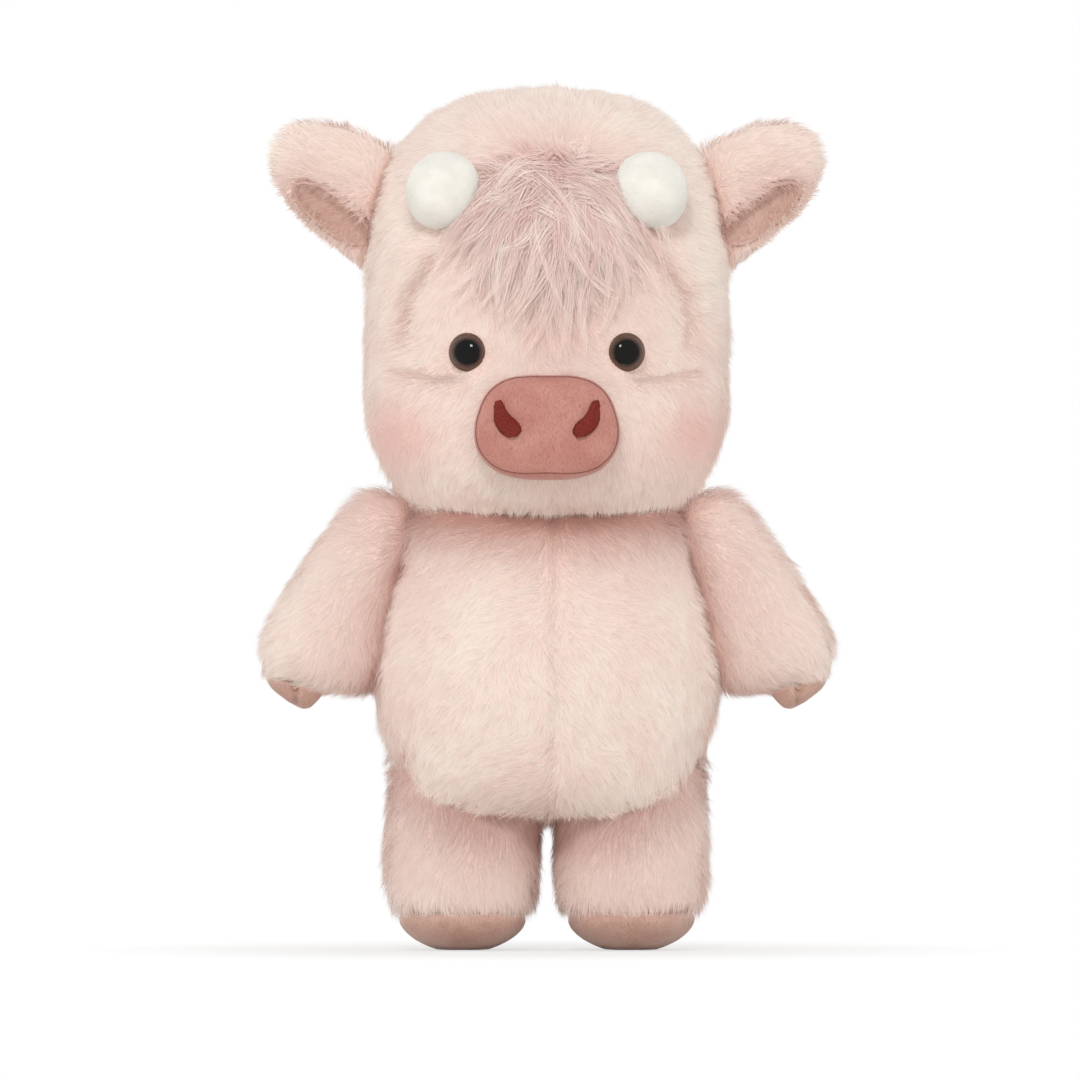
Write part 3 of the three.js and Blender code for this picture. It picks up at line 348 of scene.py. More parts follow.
def scatter(skin, density, dice):
    """Places spread evenly over a skin, with the skin's normals there."""
    mesh = skin.data
    mesh.calc_loop_triangles()
    corners = np.empty(3 * len(mesh.loop_triangles), np.int32)
    mesh.loop_triangles.foreach_get("vertices", corners)
    corners = corners.reshape(-1, 3)
    points = points_of(mesh)
    normals = normals_of(mesh)
    first, second, third = (points[corners[:, i]] for i in range(3))
    areas = np.linalg.norm(np.cross(second - first, third - first), axis=1) / 2
    count = int(density * areas.sum() / MM**2)
    chosen = corners[dice.choice(len(corners), count, p=areas / areas.sum())]
    shares = dice.random((count, 2))
    over = shares.sum(1) > 1
    shares[over] = 1 - shares[over]
    weights = np.stack([1 - shares.sum(1), shares[:, 0], shares[:, 1]], 1)[..., None]
    return (points[chosen] * weights).sum(1), unit((normals[chosen] * weights).sum(1))


def draw_tufts(paths, pull):
    """Draws each strand's far end towards the nearest of a few leading strands."""
    leaders = np.arange(0, len(paths), TUFT_STRANDS)
    tree = KDTree(len(leaders))
    for index in leaders:
        tree.insert(paths[index, 0], index)
    tree.balance()
    nearest = np.array([tree.find(root_shade)[1] for root_shade in paths[:, 0]])
    share = np.linspace(0, 1, paths.shape[1])[None, :, None]
    return paths + pull * share**1.5 * (paths[nearest] - paths)


def widths_and_rolls(width, count, dice):
    """A width and a turn about its length for each strand."""
    widths = width * (0.7 + 0.6 * dice.random(count))
    rolls = np.radians(ROLL) * (2 * dice.random(count) - 1)
    return widths, rolls


def tinted(roots, crease=0.0, blush=0.0, mauve=0.0):
    """Painted shade in creases, blush and mauve for each strand, from 0 to 1."""
    return np.column_stack([np.broadcast_to(amount, len(roots)) for amount in (crease, blush, mauve)])


def shade_at(points, shaders):
    """How deep each point lies in the shade of the pieces near it, from 0 to 1."""
    shade = np.zeros(len(points))
    for pieces, strength, reach in shaders:
        closeness = 1 - clearance(points, pieces, reach) / reach
        shade = np.maximum(shade, np.minimum(strength * closeness**1.2, 1))
    return shade


def grow(name, skin, neighbours, comb, length=PILE_LENGTH, density=STRANDS_PER_MM2, width=STRAND_WIDTH,
         lean=LEAN, tints=None, trim=None, swirl=22, shaders=(), least=0.5):
    """Grows a combed pile on a skin, as one or more pieces."""
    dice = dice_for(name)
    roots, facing = scatter(skin, density, dice)
    room = clearance(roots, neighbours)
    kept = room > BARE_MARGIN
    roots, facing, room = roots[kept], facing[kept], room[kept]
    order = np.lexsort((roots[:, 2], np.round(np.arctan2(roots[:, 0], -roots[:, 1]), 1)))
    roots, facing, room = roots[order], facing[order], room[order]
    count = len(roots)

    flow = comb(roots, facing)
    flow = unit(flow - facing * (flow * facing).sum(1, keepdims=True))
    aside = np.cross(facing, flow)
    turn = swirl * ripple(roots, SWIRL_SIZE, name + "swirl")
    turn += TUFT_TURN * ripple(roots, TUFT_SIZE, name + "tuft")
    turn = np.radians(turn + STRAY_TURN * dice.normal(size=count))[:, None]
    flow = np.cos(turn) * flow + np.sin(turn) * aside

    lengths = length * (0.72 + 0.5 * dice.random(count))
    lengths *= least + (1 - least) * smoothstep(BARE_MARGIN, FULL_MARGIN, room)
    if trim:
        lengths *= trim(roots, facing)
    lift = LIFT * ripple(roots, LIFT_SIZE, name + "lift") + STRAY_LIFT * dice.normal(size=count)
    stations = [roots]
    for angle in lean:
        tilt = np.radians(np.clip(angle + lift, *LEAN_LIMITS))[:, None]
        step = (np.cos(tilt) * facing + np.sin(tilt) * flow) * (lengths / len(lean))[:, None]
        stations.append(stations[-1] + step)
    paths = draw_tufts(np.stack(stations, 1), TUFT_PULL)

    widths, rolls = widths_and_rolls(width, count, dice)
    marks = tints(roots, facing) if tints else tinted(roots)
    # Painted shade: crease marks and the shade of pieces close by darken each strand's tone
    crease = np.maximum(marks[:, 0], shade_at(roots, shaders))
    marks[:, 0] = 0.5 + 0.5 * dice.random(count) * (1 - 0.7 * crease) - 0.5 * crease
    parts = math.ceil(count / MOST_STRANDS)
    pieces = []
    for part, chosen in enumerate(np.array_split(np.arange(count), parts), 1):
        label = f"{name}_{part}" if parts > 1 else name
        mesh = strand_mesh(label, paths[chosen], facing[chosen], widths[chosen], rolls[chosen], marks[chosen])
        pieces.append(new_object(label, mesh))
    return pieces


# Materials
def srgb(red, green, blue):
    """A colour written as it looks on a screen, 0 to 255, as the renderer's linear values."""
    shares = [value / 255 for value in (red, green, blue)]
    return tuple(s / 12.92 if s <= 0.04045 else ((s + 0.055) / 1.055) ** 2.4 for s in shares) + (1.0,)


class Nodes:
    """A tree of shader nodes, put together node by node."""

    def __init__(self, tree):
        self.tree = tree

    def node(self, kind, **settings):
        made = self.tree.nodes.new("ShaderNode" + kind)
        for setting, value in settings.items():
            setattr(made, setting, value)
        return made

    def feed(self, socket, value):
        if isinstance(value, bpy.types.NodeSocket):
            self.tree.links.new(value, socket)
        else:
            socket.default_value = value

    def noise(self, size, detail=3.0, stretch=(1, 1, 1)):
        """Noise with features of a given size in metres, drawn out along an axis by a stretch."""
        place = self.node("TexCoord").outputs["Object"]
        mapping = self.node("Mapping")
        self.feed(mapping.inputs["Vector"], place)
        mapping.inputs["Scale"].default_value = [1 / (size * s) for s in stretch]
        texture = self.node("TexNoise")
        self.feed(texture.inputs["Vector"], mapping.outputs["Vector"])
        texture.inputs["Scale"].default_value = 1.0
        texture.inputs["Detail"].default_value = detail
        return texture.outputs["Fac"]

    def mix(self, share, first, second, blend="MIX"):
        """A mix of two colours, whose sockets on the node go by number because others have the same names."""
        made = self.node("Mix", data_type="RGBA", blend_type=blend)
        self.feed(made.inputs["Factor"], share)
        self.feed(made.inputs[6], first)
        self.feed(made.inputs[7], second)
        return made.outputs[2]

    def span(self, value, low, high, start=0.0, end=1.0):
        """A value carried from one span to another, held at its ends."""
        made = self.node("MapRange")
        ends = {"Value": value, "From Min": low, "From Max": high, "To Min": start, "To Max": end}
        for socket, amount in ends.items():
            self.feed(made.inputs[socket], amount)
        return made.outputs["Result"]

    def maths(self, operation, first, second):
        made = self.node("Math", operation=operation)
        self.feed(made.inputs[0], first)
        self.feed(made.inputs[1], second)
        return made.outputs["Value"]


class Finish(Nodes):
    """A procedural material."""

    def __init__(self, name, **constants):
        self.material = bpy.data.materials.new(name)
        self.material.use_nodes = True
        super().__init__(self.material.node_tree)
        self.shader = self.tree.nodes["Principled BSDF"]
        for socket, value in constants.items():
            self.shader.inputs[socket.replace("_", " ")].default_value = value

    def painted(self, name):
        """A value that is kept at the corners of a mesh."""
        return self.node("Attribute", attribute_name=name).outputs["Fac"]

    def pile(self):
        """What each strand keeps: its tone darkened by any painted shade, the share of its length, its blush
        and its mauve.
        """
        kept = self.node("Attribute", attribute_name="pile")
        parts = self.node("SeparateColor")
        self.feed(parts.inputs["Color"], kept.outputs["Color"])
        return *(parts.outputs[name] for name in ("Red", "Green", "Blue")), kept.outputs["Alpha"]

    def bump(self, height, depth):
        made = self.node("Bump")
        made.inputs["Distance"].default_value = depth
        self.feed(made.inputs["Height"], height)
        self.feed(self.shader.inputs["Normal"], made.outputs["Normal"])

    def colour(self, value):
        self.feed(self.shader.inputs["Base Color"], value)

    def roughness(self, value):
        self.feed(self.shader.inputs["Roughness"], value)


CREAM = srgb(244, 231, 219)
PINK = srgb(239, 217, 207)
# the colour that each strand darkens to towards its root: painted shade deep in the pile
ROOT_SHADE = srgb(222, 188, 177)
BLUSH = srgb(234, 176, 167)
MAUVE = srgb(212, 174, 168)
SHADE = (0.58, 0.43, 0.40, 1.0)  # what a deep crease between two furry pieces leaves of the light
WHITE = (1.0, 1.0, 1.0, 1.0)
DULL = (0.93, 0.93, 0.93, 1.0)
BRIGHT = (1.05, 1.05, 1.05, 1.0)


def fur_finish(name, pale, pink, root_shade, blush=BLUSH, mauve=MAUVE):
    finish = Finish(name, Roughness=0.9, Sheen_Weight=0.22, Sheen_Roughness=0.5, Specular_IOR_Level=0.1)
    tone, along, blushed, mauved = finish.pile()
    patches = finish.span(finish.noise(30 * MM), 0.36, 0.64)
    tips = finish.mix(patches, pale, pink)
    marked = finish.mix(mauved, finish.mix(blushed, tips, blush), mauve)
    # Darker towards the root: painted shade deep in the pile
    rooted = finish.mix(finish.span(along, 0.0, 0.75, 0.55, 0.0), marked, root_shade)
    # Tone above 0.6 dims or brightens a strand at random; below that it runs into the painted shade
    lit = finish.mix(finish.span(tone, 0.6, 1.0), DULL, BRIGHT)
    shaded = finish.mix(finish.span(tone, 0.1, 0.6), SHADE, lit)
    finish.colour(finish.mix(1.0, rooted, shaded, "MULTIPLY"))
    return finish.material


def backing_finish(name, colour, deep):
    """The knitted backing that the pile grows from, darker where a skin is painted with shade."""
    finish = Finish(name, Roughness=0.95, Sheen_Weight=0.2, Specular_IOR_Level=0.1)
    knit = finish.noise(1.2 * MM, 2.0)
    woven = finish.mix(finish.span(knit, 0.35, 0.65), deep, colour)
    shaded = finish.mix(finish.painted("shade"), WHITE, SHADE)
    finish.colour(finish.mix(1.0, woven, shaded, "MULTIPLY"))
    finish.bump(knit, 0.3 * MM)
    return finish.material


def suede_finish(name, colour, deep, light):
    """Short brushed pile: a nap that catches the light in streaks."""
    finish = Finish(name, Roughness=0.85, Sheen_Weight=0.35, Sheen_Roughness=0.4, Specular_IOR_Level=0.2)
    nap = finish.noise(0.5 * MM, 4.0, (1, 1, 2.5))
    cloud = finish.span(finish.noise(9 * MM, 3.0), 0.35, 0.65)
    base = finish.mix(cloud, colour, light)
    finish.colour(finish.mix(finish.span(nap, 0.3, 0.55, 0.55, 0.0), base, deep))
    finish.bump(nap, 0.25 * MM)
    return finish.material


def velvet_finish(name, colour, shade):
    finish = Finish(name, Roughness=0.9, Sheen_Weight=0.3, Sheen_Roughness=0.5, Specular_IOR_Level=0.15)
    nap = finish.noise(0.8 * MM, 4.0)
    cloud = finish.span(finish.noise(7 * MM), 0.3, 0.7)
    base = finish.mix(cloud, shade, colour)
    finish.colour(finish.mix(finish.span(nap, 0.3, 0.5, 0.35, 0.0), base, shade))
    finish.bump(nap, 0.3 * MM)
    return finish.material


def thread_finish(name, colour, deep):
    finish = Finish(name, Roughness=0.6, Specular_IOR_Level=0.25)
    twist = finish.noise(0.35 * MM, 2.0)
    finish.colour(finish.mix(finish.span(twist, 0.35, 0.65), deep, colour))
    finish.bump(twist, 0.08 * MM)
    return finish.material


def moulded_finish(name, colour, deep, roughness):
    """Moulded plastic with a fine spark-eroded grain."""
    finish = Finish(name)
    grain = finish.noise(0.4 * MM, 3.0)
    finish.colour(finish.mix(finish.span(finish.noise(6 * MM), 0.3, 0.7), colour, deep))
    finish.roughness(finish.span(grain, 0.3, 0.7, roughness - 0.08, roughness + 0.1))
    finish.bump(grain, 0.03 * MM)
    return finish.material


def steel_finish(name):
    finish = Finish(name, Metallic=1.0)
    brushed = finish.noise(0.3 * MM, 3.0, (1, 6, 1))
    finish.colour(finish.mix(brushed, srgb(150, 152, 156), srgb(205, 206, 208)))
    finish.roughness(finish.span(brushed, 0.3, 0.7, 0.22, 0.42))
    return finish.material


def dress(obj, material):
    obj.data.materials.clear()
    obj.data.materials.append(material)


def attach(piece, material, body, stands_for=None):
    """Dresses a piece in its material, sets it on the body that it rides on, and hides the solid that it
    stands for.
    """
    dress(piece, material)
    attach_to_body(piece, body)
    if stands_for:
        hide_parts(stands_for)


def attach_pile(pieces, material, body):
    """Light goes between fine translucent strands, so they leave the shade to the skin under them."""
    for piece in pieces:
        attach(piece, material, body)
        piece.visible_shadow = False
        piece.visible_diffuse = False


# Skins of the furry forms, each with the pieces that fill its hollows
def pair(part):
    return [f"{part}_{side}" for side in SIDES]


LIMBS = pair("arm") + pair("leg")
EARS = pair("ear")
EYES = pair("eye")
HORNS = pair("horn")
HEAD_FILL = ["neck_stud", *pair("eye_washer")]
BODY_FILL = ["case_front", "case_back", "press_cap", "hook_tape", "loop_tape", "neck_washer", "neck_lock_nut"]
BODY_FILL += pair("shoulder_washer") + pair("shoulder_lock_nut")

NEIGHBOURS = {
    "head": ["body", "muzzle", *EYES, *HORNS, *EARS],
    "body": ["head", "tail", *LIMBS],
    "tail": ["body", "tail_tuft"],
}
for side in SIDES:
    NEIGHBOURS[f"arm_{side}"] = ["body", "head", f"hand_hoof_{side}"]
    NEIGHBOURS[f"leg_{side}"] = ["body", f"foot_hoof_{side}"]
    NEIGHBOURS[f"ear_{side}"] = ["head", f"ear_lining_{side}"]

# What paints shade into each pile: some pieces close by, how strongly they shade it and how far their shade
# reaches
SHADERS = {
    "head": [(["body", *pair("arm")], 0.15, 4 * MM), (["muzzle", *HORNS, *EARS], 0.35, 4 * MM)],
    "body": [(["head"], 1.2, 24 * MM), (LIMBS, 0.75, 6 * MM)],
    "tail": [(["body"], 0.55, 6 * MM)],
}
for side, other in zip(SIDES, reversed(SIDES)):
    SHADERS[f"arm_{side}"] = [(["head", "body"], 0.95, 10 * MM)]
    SHADERS[f"leg_{side}"] = [(["body"], 0.85, 18 * MM), ([f"leg_{other}"], 0.55, 12 * MM)]
    SHADERS[f"ear_{side}"] = [(["head"], 0.5, 6 * MM)]


# The cells that each skin is cut into, and how far the skins that aren't stuffed are set back
STUFFED_GRID = 4.5 * MM
LIMB_GRID = 4.0 * MM
EAR_GRID = 2.2 * MM
TAIL_GRID = 1.5 * MM
EAR_DEPTH = 1.6 * MM
TAIL_DEPTH = 1.2 * MM


def start_depth(kind):
    """How far a skin is set back before it is stuffed."""
    return PILE_DEPTH + MEAN_SWELL[kind]


def furry_skin(part, fill, depth, voxel, smoothing=6):
    return cut_skin(f"{part}_skin", [part, *fill], NEIGHBOURS[part], depth, voxel, smoothing)


skins = {
    "head": furry_skin("head", HEAD_FILL, start_depth("head"), STUFFED_GRID),
    "body": furry_skin("body", BODY_FILL, start_depth("body"), STUFFED_GRID),
    "tail": furry_skin("tail", [], TAIL_DEPTH, TAIL_GRID),
}
for side in SIDES:
    arm, leg, ear = (f"{part}_{side}" for part in ("arm", "leg", "ear"))
    skins[arm] = furry_skin(arm, [f"shoulder_stud_{side}"], start_depth("limb"), LIMB_GRID)
    skins[leg] = furry_skin(leg, [], start_depth("limb"), LIMB_GRID)
    skins[ear] = furry_skin(ear, [], EAR_DEPTH, EAR_GRID, smoothing=3)
stuff([(skins[part], NEIGHBOURS[part]) for part in ("head", "body", *LIMBS)])
for part in ("head", "body"):
    subdivide(skins[part], 2)
for part in (*LIMBS, *EARS, "tail"):
    subdivide(skins[part], 1)

muzzle_middle = np.array(middle("muzzle"))
eye_middle = middle("eye_left")
EYE_RADIUS = 6.5 * MM


# Folds and seams that the sewing draws into the stuffed skins
BROW = [(4, 37), (12, 31), (19, 21), (21, 11), (21, -4)]  # mm from the eye's middle, outward and up
CHEEK_TOP = [(27, -3), (21, -7.5), (10, -9.5), (-3, -9.5)]
BROW_HEIGHT = 2.8 * MM
CHEEK_HEIGHT = 2.4 * MM
FOLD_FADE = 0.25  # the share of a fold's course over which it fades out at each end
SEAM_X = 2 * MM
SEAM_WIDTH = 1.8 * MM
CHIN_SEAM = 1.4 * MM  # depth
BELLY_SEAM = 1.6 * MM
HIP_TUCK = 1.4 * MM


def beside(points, course):
    """Signed distance from a course in the front view, and a share that fades out at the course's ends."""
    course = np.array(course)
    steps = np.diff(course, axis=0)
    lengths = np.linalg.norm(steps, axis=1)
    done = np.cumsum(lengths) - lengths
    away = points[:, None, [0, 2]] - course[:-1]
    along = np.clip((away * steps).sum(2) / lengths**2, 0, 1)
    away = away - along[..., None] * steps
    distance = np.linalg.norm(away, axis=2)
    side = np.sign(steps[:, 0] * away[..., 1] - steps[:, 1] * away[..., 0])
    nearest = np.arange(len(points)), distance.argmin(1)
    share = (done + along * lengths)[nearest] / lengths.sum()
    fade = smoothstep(0, FOLD_FADE, share) * (1 - smoothstep(1 - FOLD_FADE, 1, share))
    return (side * distance)[nearest], fade


def fold(skin, course, height, width=1.6 * MM, reach=9 * MM):
    """Raises the skin on the left of a course and lowers it on the right, most in the course's middle."""
    signed, fade = beside(points_of(skin.data), course)
    front = to_front(normals_of(skin.data), 0.1, 0.4)
    push(skin, height * fade * front * np.tanh(signed / width) * bell(signed, reach))


def seam(skin, top, bottom, depth):
    """Draws an upright groove into the front."""
    signed, _ = beside(points_of(skin.data), [(SEAM_X, top), (SEAM_X, bottom)])
    push(skin, -depth * to_front(normals_of(skin.data), 0.0, 0.3) * bell(signed, SEAM_WIDTH))


creases = []
for sign in (1, -1):
    for shape, height in ((BROW, BROW_HEIGHT), (CHEEK_TOP, CHEEK_HEIGHT)):
        course = [(sign * (eye_middle.x + x * MM), eye_middle.z + z * MM) for x, z in shape]
        fold(skins["head"], course, sign * height)
        creases.append((course, sign))
body_low, body_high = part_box("body")
seam(skins["head"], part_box("muzzle")[0].z, body_high.z, CHIN_SEAM)
seam(skins["body"], body_high.z, body_low.z, BELLY_SEAM)
leg_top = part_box("leg_left")[1].z


def hip(points):
    """1 at the lower edge of the body's sides, where they end beside the legs, and 0 well above it."""
    aside = smoothstep(38 * MM, 50 * MM, np.abs(points[:, 0]))
    return aside * (1 - smoothstep(leg_top - 2 * MM, leg_top + 15 * MM, points[:, 2]))


def tuck_hips(skin):
    """Draws the lower edge of the body's sides in towards the legs."""
    points = points_of(skin.data)
    points[:, 0] -= np.sign(points[:, 0]) * HIP_TUCK * hip(points)
    set_points(skin.data, points)


tuck_hips(skins["body"])

# How each form is combed
forelock_low, forelock_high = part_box("forelock")
WHORL = np.array([1.3 * MM, forelock_low.y + 8 * MM, forelock_high.z - 13 * MM])  # where the head's fur parts


def comb_head(roots, facing):
    flow = unit(roots - WHORL)
    flow[:, 2] -= 0.45
    away = roots - muzzle_middle
    nearness = bell(np.linalg.norm(away, axis=1), 38 * MM)
    return flow + 1.3 * nearness[:, None] * unit(away)


def comb_body(roots, facing):
    flow = np.zeros_like(roots)
    flow[:, 0] = (0.7 - 1.4 * hip(roots)) * np.tanh((roots[:, 0] - SEAM_X) / (5 * MM))
    flow[:, 2] = -1
    return flow


def comb_along(direction):
    return lambda roots, facing: np.tile(np.array(direction), (len(roots), 1))


def comb_outward(root_point, drop=0.0):
    """Away from a point, and down by a share of that."""
    return lambda roots, facing: unit(roots - np.array(root_point)) - np.array([0, 0, drop])


comb_down = comb_along((0.0, 0.0, -1.0))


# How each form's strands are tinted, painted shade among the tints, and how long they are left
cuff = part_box("leg_left")[0].z
arm_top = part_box("arm_left")[1].z
pocket_middle = middle("ear_lining_left")
POCKET_SLANT = math.radians(38)


def head_tints(roots, facing):
    """Painted shade in the folds and the chin's seam, blush on the cheeks, and mauve where the forelock thins
    out towards the muzzle.
    """
    front = to_front(facing, 0.1, 0.5)
    below = roots[:, 2] < muzzle_middle[2]
    crease = 0.2 * front * below * bell(roots[:, 0] - SEAM_X, 1.1 * MM)
    for course, sign in creases:
        signed, fade = beside(roots, course)
        crease = np.maximum(crease, 0.55 * fade * front * bell(sign * signed + 1.2 * MM, 3.4 * MM))
    cheek = patch(roots, eye_middle.x + 22 * MM, eye_middle.z - 25 * MM, 15 * MM, 11 * MM)
    bridge = 0.45 * front * patch(roots, 0, eye_middle.z + 14 * MM, 17 * MM, 24 * MM)
    crown = 0.6 * bell(np.linalg.norm(roots - WHORL, axis=1), 20 * MM)
    return tinted(roots, crease, 0.7 * cheek * to_front(facing, -0.3, 0.3), np.maximum(bridge, crown))


def body_tints(roots, facing):
    """Painted shade along the belly's seam, and mauve towards the neck: painted shade under the head."""
    crease = 0.35 * to_front(facing, 0.1, 0.5) * bell(roots[:, 0] - SEAM_X, 1.6 * MM)
    mauve = 0.5 * smoothstep(body_high.z - 42 * MM, body_high.z - 6 * MM, roots[:, 2])
    return tinted(roots, crease, mauve=mauve)


def arm_tints(roots, facing):
    """Mauve on the side towards the body."""
    return tinted(roots, mauve=0.4 * (1 - smoothstep(62 * MM, 90 * MM, np.abs(roots[:, 0]))))


def leg_tints(roots, facing):
    """Mauve under the belly and between the legs: painted shade."""
    high = smoothstep(cuff, cuff + 32 * MM, roots[:, 2])
    inner = 1 - smoothstep(15 * MM, 48 * MM, np.abs(roots[:, 0]))
    return tinted(roots, mauve=0.15 + 0.65 * high * (0.4 + 0.6 * inner))


def from_eye(x, z):
    """Distance in the front view from the middle of the nearer eye."""
    return np.hypot(np.abs(x) - eye_middle.x, z - eye_middle.z)


def head_trim(roots, facing):
    """Short strands round the eyes, and longer ones on the jowls that lie over the shoulders."""
    distance = from_eye(roots[:, 0], roots[:, 2])
    near_eye = to_front(facing, 0.2, 0.5) * (1 - smoothstep(EYE_RADIUS, EYE_RADIUS + 6 * MM, distance))
    jowl = patch(roots, 47 * MM, body_high.z + 6 * MM, 9 * MM, 9 * MM)
    return (1 - 0.75 * near_eye) * (1 + 0.9 * jowl)


def body_trim(roots, facing):
    """Long strands that close the gaps at the shoulders and beside the legs, short ones under the body."""
    edge = hip(roots) * (0.5 - 1.1 * smoothstep(0.2, 0.7, -facing[:, 2]))
    return 1 + edge + 0.9 * patch(roots, 43 * MM, body_high.z - 7 * MM, 7 * MM, 8 * MM)


def arm_trim(roots, facing):
    """Longer strands on the top of the shoulders."""
    return 1 + 0.45 * smoothstep(arm_top - 12 * MM, arm_top - 3 * MM, roots[:, 2])


def leg_trim(roots, facing):
    """Strands that end unevenly, a little below a leg's cuff, and lie close beside the body at its top."""
    over = (6.2 + 2.0 * ripple(roots, 11 * MM, "cuff")) * MM
    cuff_share = np.clip((roots[:, 2] - cuff + over) / PILE_LENGTH, 0.5, 1.1)
    top = smoothstep(leg_top - 22 * MM, leg_top - 8 * MM, roots[:, 2])
    return cuff_share * (1 - 0.15 * top * smoothstep(36 * MM, 44 * MM, np.abs(roots[:, 0])))


def across_pocket(points):
    """How far each point lies across an ear's slanted pocket, from its middle up towards the flap over it."""
    outward = np.abs(points[:, 0]) - pocket_middle.x
    return (points[:, 2] - pocket_middle.z) * math.cos(POCKET_SLANT) - outward * math.sin(POCKET_SLANT)


def ear_trim(roots, facing):
    """Shorter strands on an ear's back and on its lower rim."""
    rim = 1 - smoothstep(-6 * MM, -1 * MM, across_pocket(roots))
    return 1 - 0.45 * np.maximum(smoothstep(0.0, 0.5, facing[:, 1]), rim)


def ear_tints(roots, facing):
    """Mauve where the lining runs out into the lower rim, and mauve painted shade where the flap turns down
    over the pocket.
    """
    near = 1 - clearance(roots, pair("ear_lining"), 12 * MM) / (12 * MM)
    below = 1 - smoothstep(-4 * MM, 2 * MM, across_pocket(roots))
    return tinted(roots, mauve=near**1.5 * (0.55 * below + 0.6 * (1 - below)) * to_front(facing, -0.2, 0.3))


def lining_tints(roots, facing):
    """Painted shade under the flap and towards the pocket's inner end, and a paler lower edge."""
    up = across_pocket(roots)
    inward = (pocket_middle.x - np.abs(roots[:, 0])) / (13 * MM)
    crease = 0.2 * smoothstep(-2 * MM, 4.5 * MM, up) + 0.4 * smoothstep(0.0, 1.0, inward)
    return tinted(roots, crease, 1 - smoothstep(-6 * MM, -1 * MM, up))


def fur_on(part, comb, **settings):
    return grow(f"{part}_pile", skins[part], NEIGHBOURS[part], comb, shaders=SHADERS[part], **settings)


piles = {
    "head": fur_on("head", comb_head, tints=head_tints, trim=head_trim),
    "body": fur_on("body", comb_body, tints=body_tints, trim=body_trim, swirl=34, least=0.8),
    "tail": fur_on("tail", comb_down, length=4 * MM, density=3.0, width=0.3 * MM),
}
ear_fur = {"length": 6 * MM, "density": 2.6, "width": 0.32 * MM, "least": 1.0}
for side in SIDES:
    arm, leg, ear = (f"{part}_{side}" for part in ("arm", "leg", "ear"))
    comb_arm = comb_along(middle(f"hand_hoof_{side}") - anchor_of(f"shoulder_{side}"))
    piles[arm] = fur_on(arm, comb_arm, tints=arm_tints, trim=arm_trim, least=0.85)
    piles[leg] = fur_on(leg, comb_down, tints=leg_tints, trim=leg_trim, least=0.8)
    comb_ear = comb_outward(anchor_of(f"ear_flap_{side}"), drop=0.5)
    piles[ear] = fur_on(ear, comb_ear, tints=ear_tints, trim=ear_trim, **ear_fur)


def paint_shade(skin, shaders):
    """Keeps at a skin's corners how deep they lie in the shade of the pieces near them."""
    depths = shade_at(points_of(skin.data), shaders)
    shade = skin.data.attributes.new("shade", "FLOAT", "POINT")
    shade.data.foreach_set("value", depths.astype(np.float32))


fur = fur_finish("fur_pile", CREAM, PINK, ROOT_SHADE)
backing = backing_finish("fur_backing", srgb(246, 220, 209), srgb(238, 206, 194))
BODY_OF = {"head": "head", "body": "torso", "tail": "tail"}
for part, skin in skins.items():
    body = BODY_OF.get(part, part)
    paint_shade(skin, SHADERS[part])
    attach(skin, backing, body, part)
    attach_pile(piles[part], fur, body)


# Padded pieces of short brushed cloth: muzzle, hooves and horns
def bowl(skin, least):
    """Rounds a pad's underside: its lowest part keeps only a share of its width."""
    points = points_of(skin.data)
    low, high = points.min(0), points.max(0)
    centre = (low + high) / 2
    depth = 1 - (points[:, 2] - low[2]) / (high[2] - low[2])
    share = 1 - (1 - least) * depth**2.6
    points[:, :2] = centre[:2] + share[:, None] * (points[:, :2] - centre[:2])
    set_points(skin.data, points)


CLEFT_WIDTH = 1.3 * MM


def cleave(skin, depth):
    """Presses a cleft into the front of a hoof."""
    across = points_of(skin.data)[:, 0]
    across -= (across.min() + across.max()) / 2
    push(skin, -depth * to_front(normals_of(skin.data), -0.2, 0.3) * bell(across, CLEFT_WIDTH))


def pad(node, body, slot, material, voxel, smoothing, depth=SEAT, underside=1.0, cleft=0.0):
    """A padded piece on a furry form of the same name as the body that it rides on."""
    skin = cut_skin(f"{node}_pad", [node], [body], depth, voxel, smoothing)
    bowl(skin, underside)
    subdivide(skin, 1)
    if cleft:
        cleave(skin, cleft)
    attach(skin, material, body, node)
    return skin


muzzle_suede = suede_finish("muzzle_suede", srgb(189, 129, 118), srgb(160, 99, 89), srgb(199, 144, 132))
hoof_suede = suede_finish("hoof_suede", srgb(196, 158, 143), srgb(164, 126, 112), srgb(208, 172, 157))
horn_velvet = velvet_finish("horn_velvet", srgb(242, 239, 231), srgb(230, 227, 218))
muzzle = pad("muzzle", "head", "short_pile_pink", muzzle_suede, voxel=1.4 * MM, smoothing=10, depth=0.0)
hoof = {"slot": "short_pile_brown", "material": hoof_suede, "smoothing": 5}
for side in SIDES:
    pad(f"hand_hoof_{side}", f"arm_{side}", voxel=0.9 * MM, cleft=2.2 * MM, **hoof)
    pad(f"foot_hoof_{side}", f"leg_{side}", voxel=1.6 * MM, underside=0.72, **hoof)
    pad(f"horn_{side}", "head", "white_velvet", horn_velvet, voxel=1.3 * MM, smoothing=6, depth=-0.6 * MM)


# Thread: round strands along paths
def ring_faces(start, rings, sides):
    """Faces between rings of corners that follow each other."""
    faces = []
    for ring in range(start, start + (rings - 1) * sides, sides):
        for j in range(sides):
            k = (j + 1) % sides
            faces.append((ring + j, ring + k, ring + sides + k, ring + sides + j))
    return faces


def mesh_object(name, points, faces):
    mesh = bpy.data.meshes.new(name)
    mesh.from_pydata(points.tolist(), [], faces)
    obj = new_object(name, mesh)
    shade_smooth(obj)
    return obj


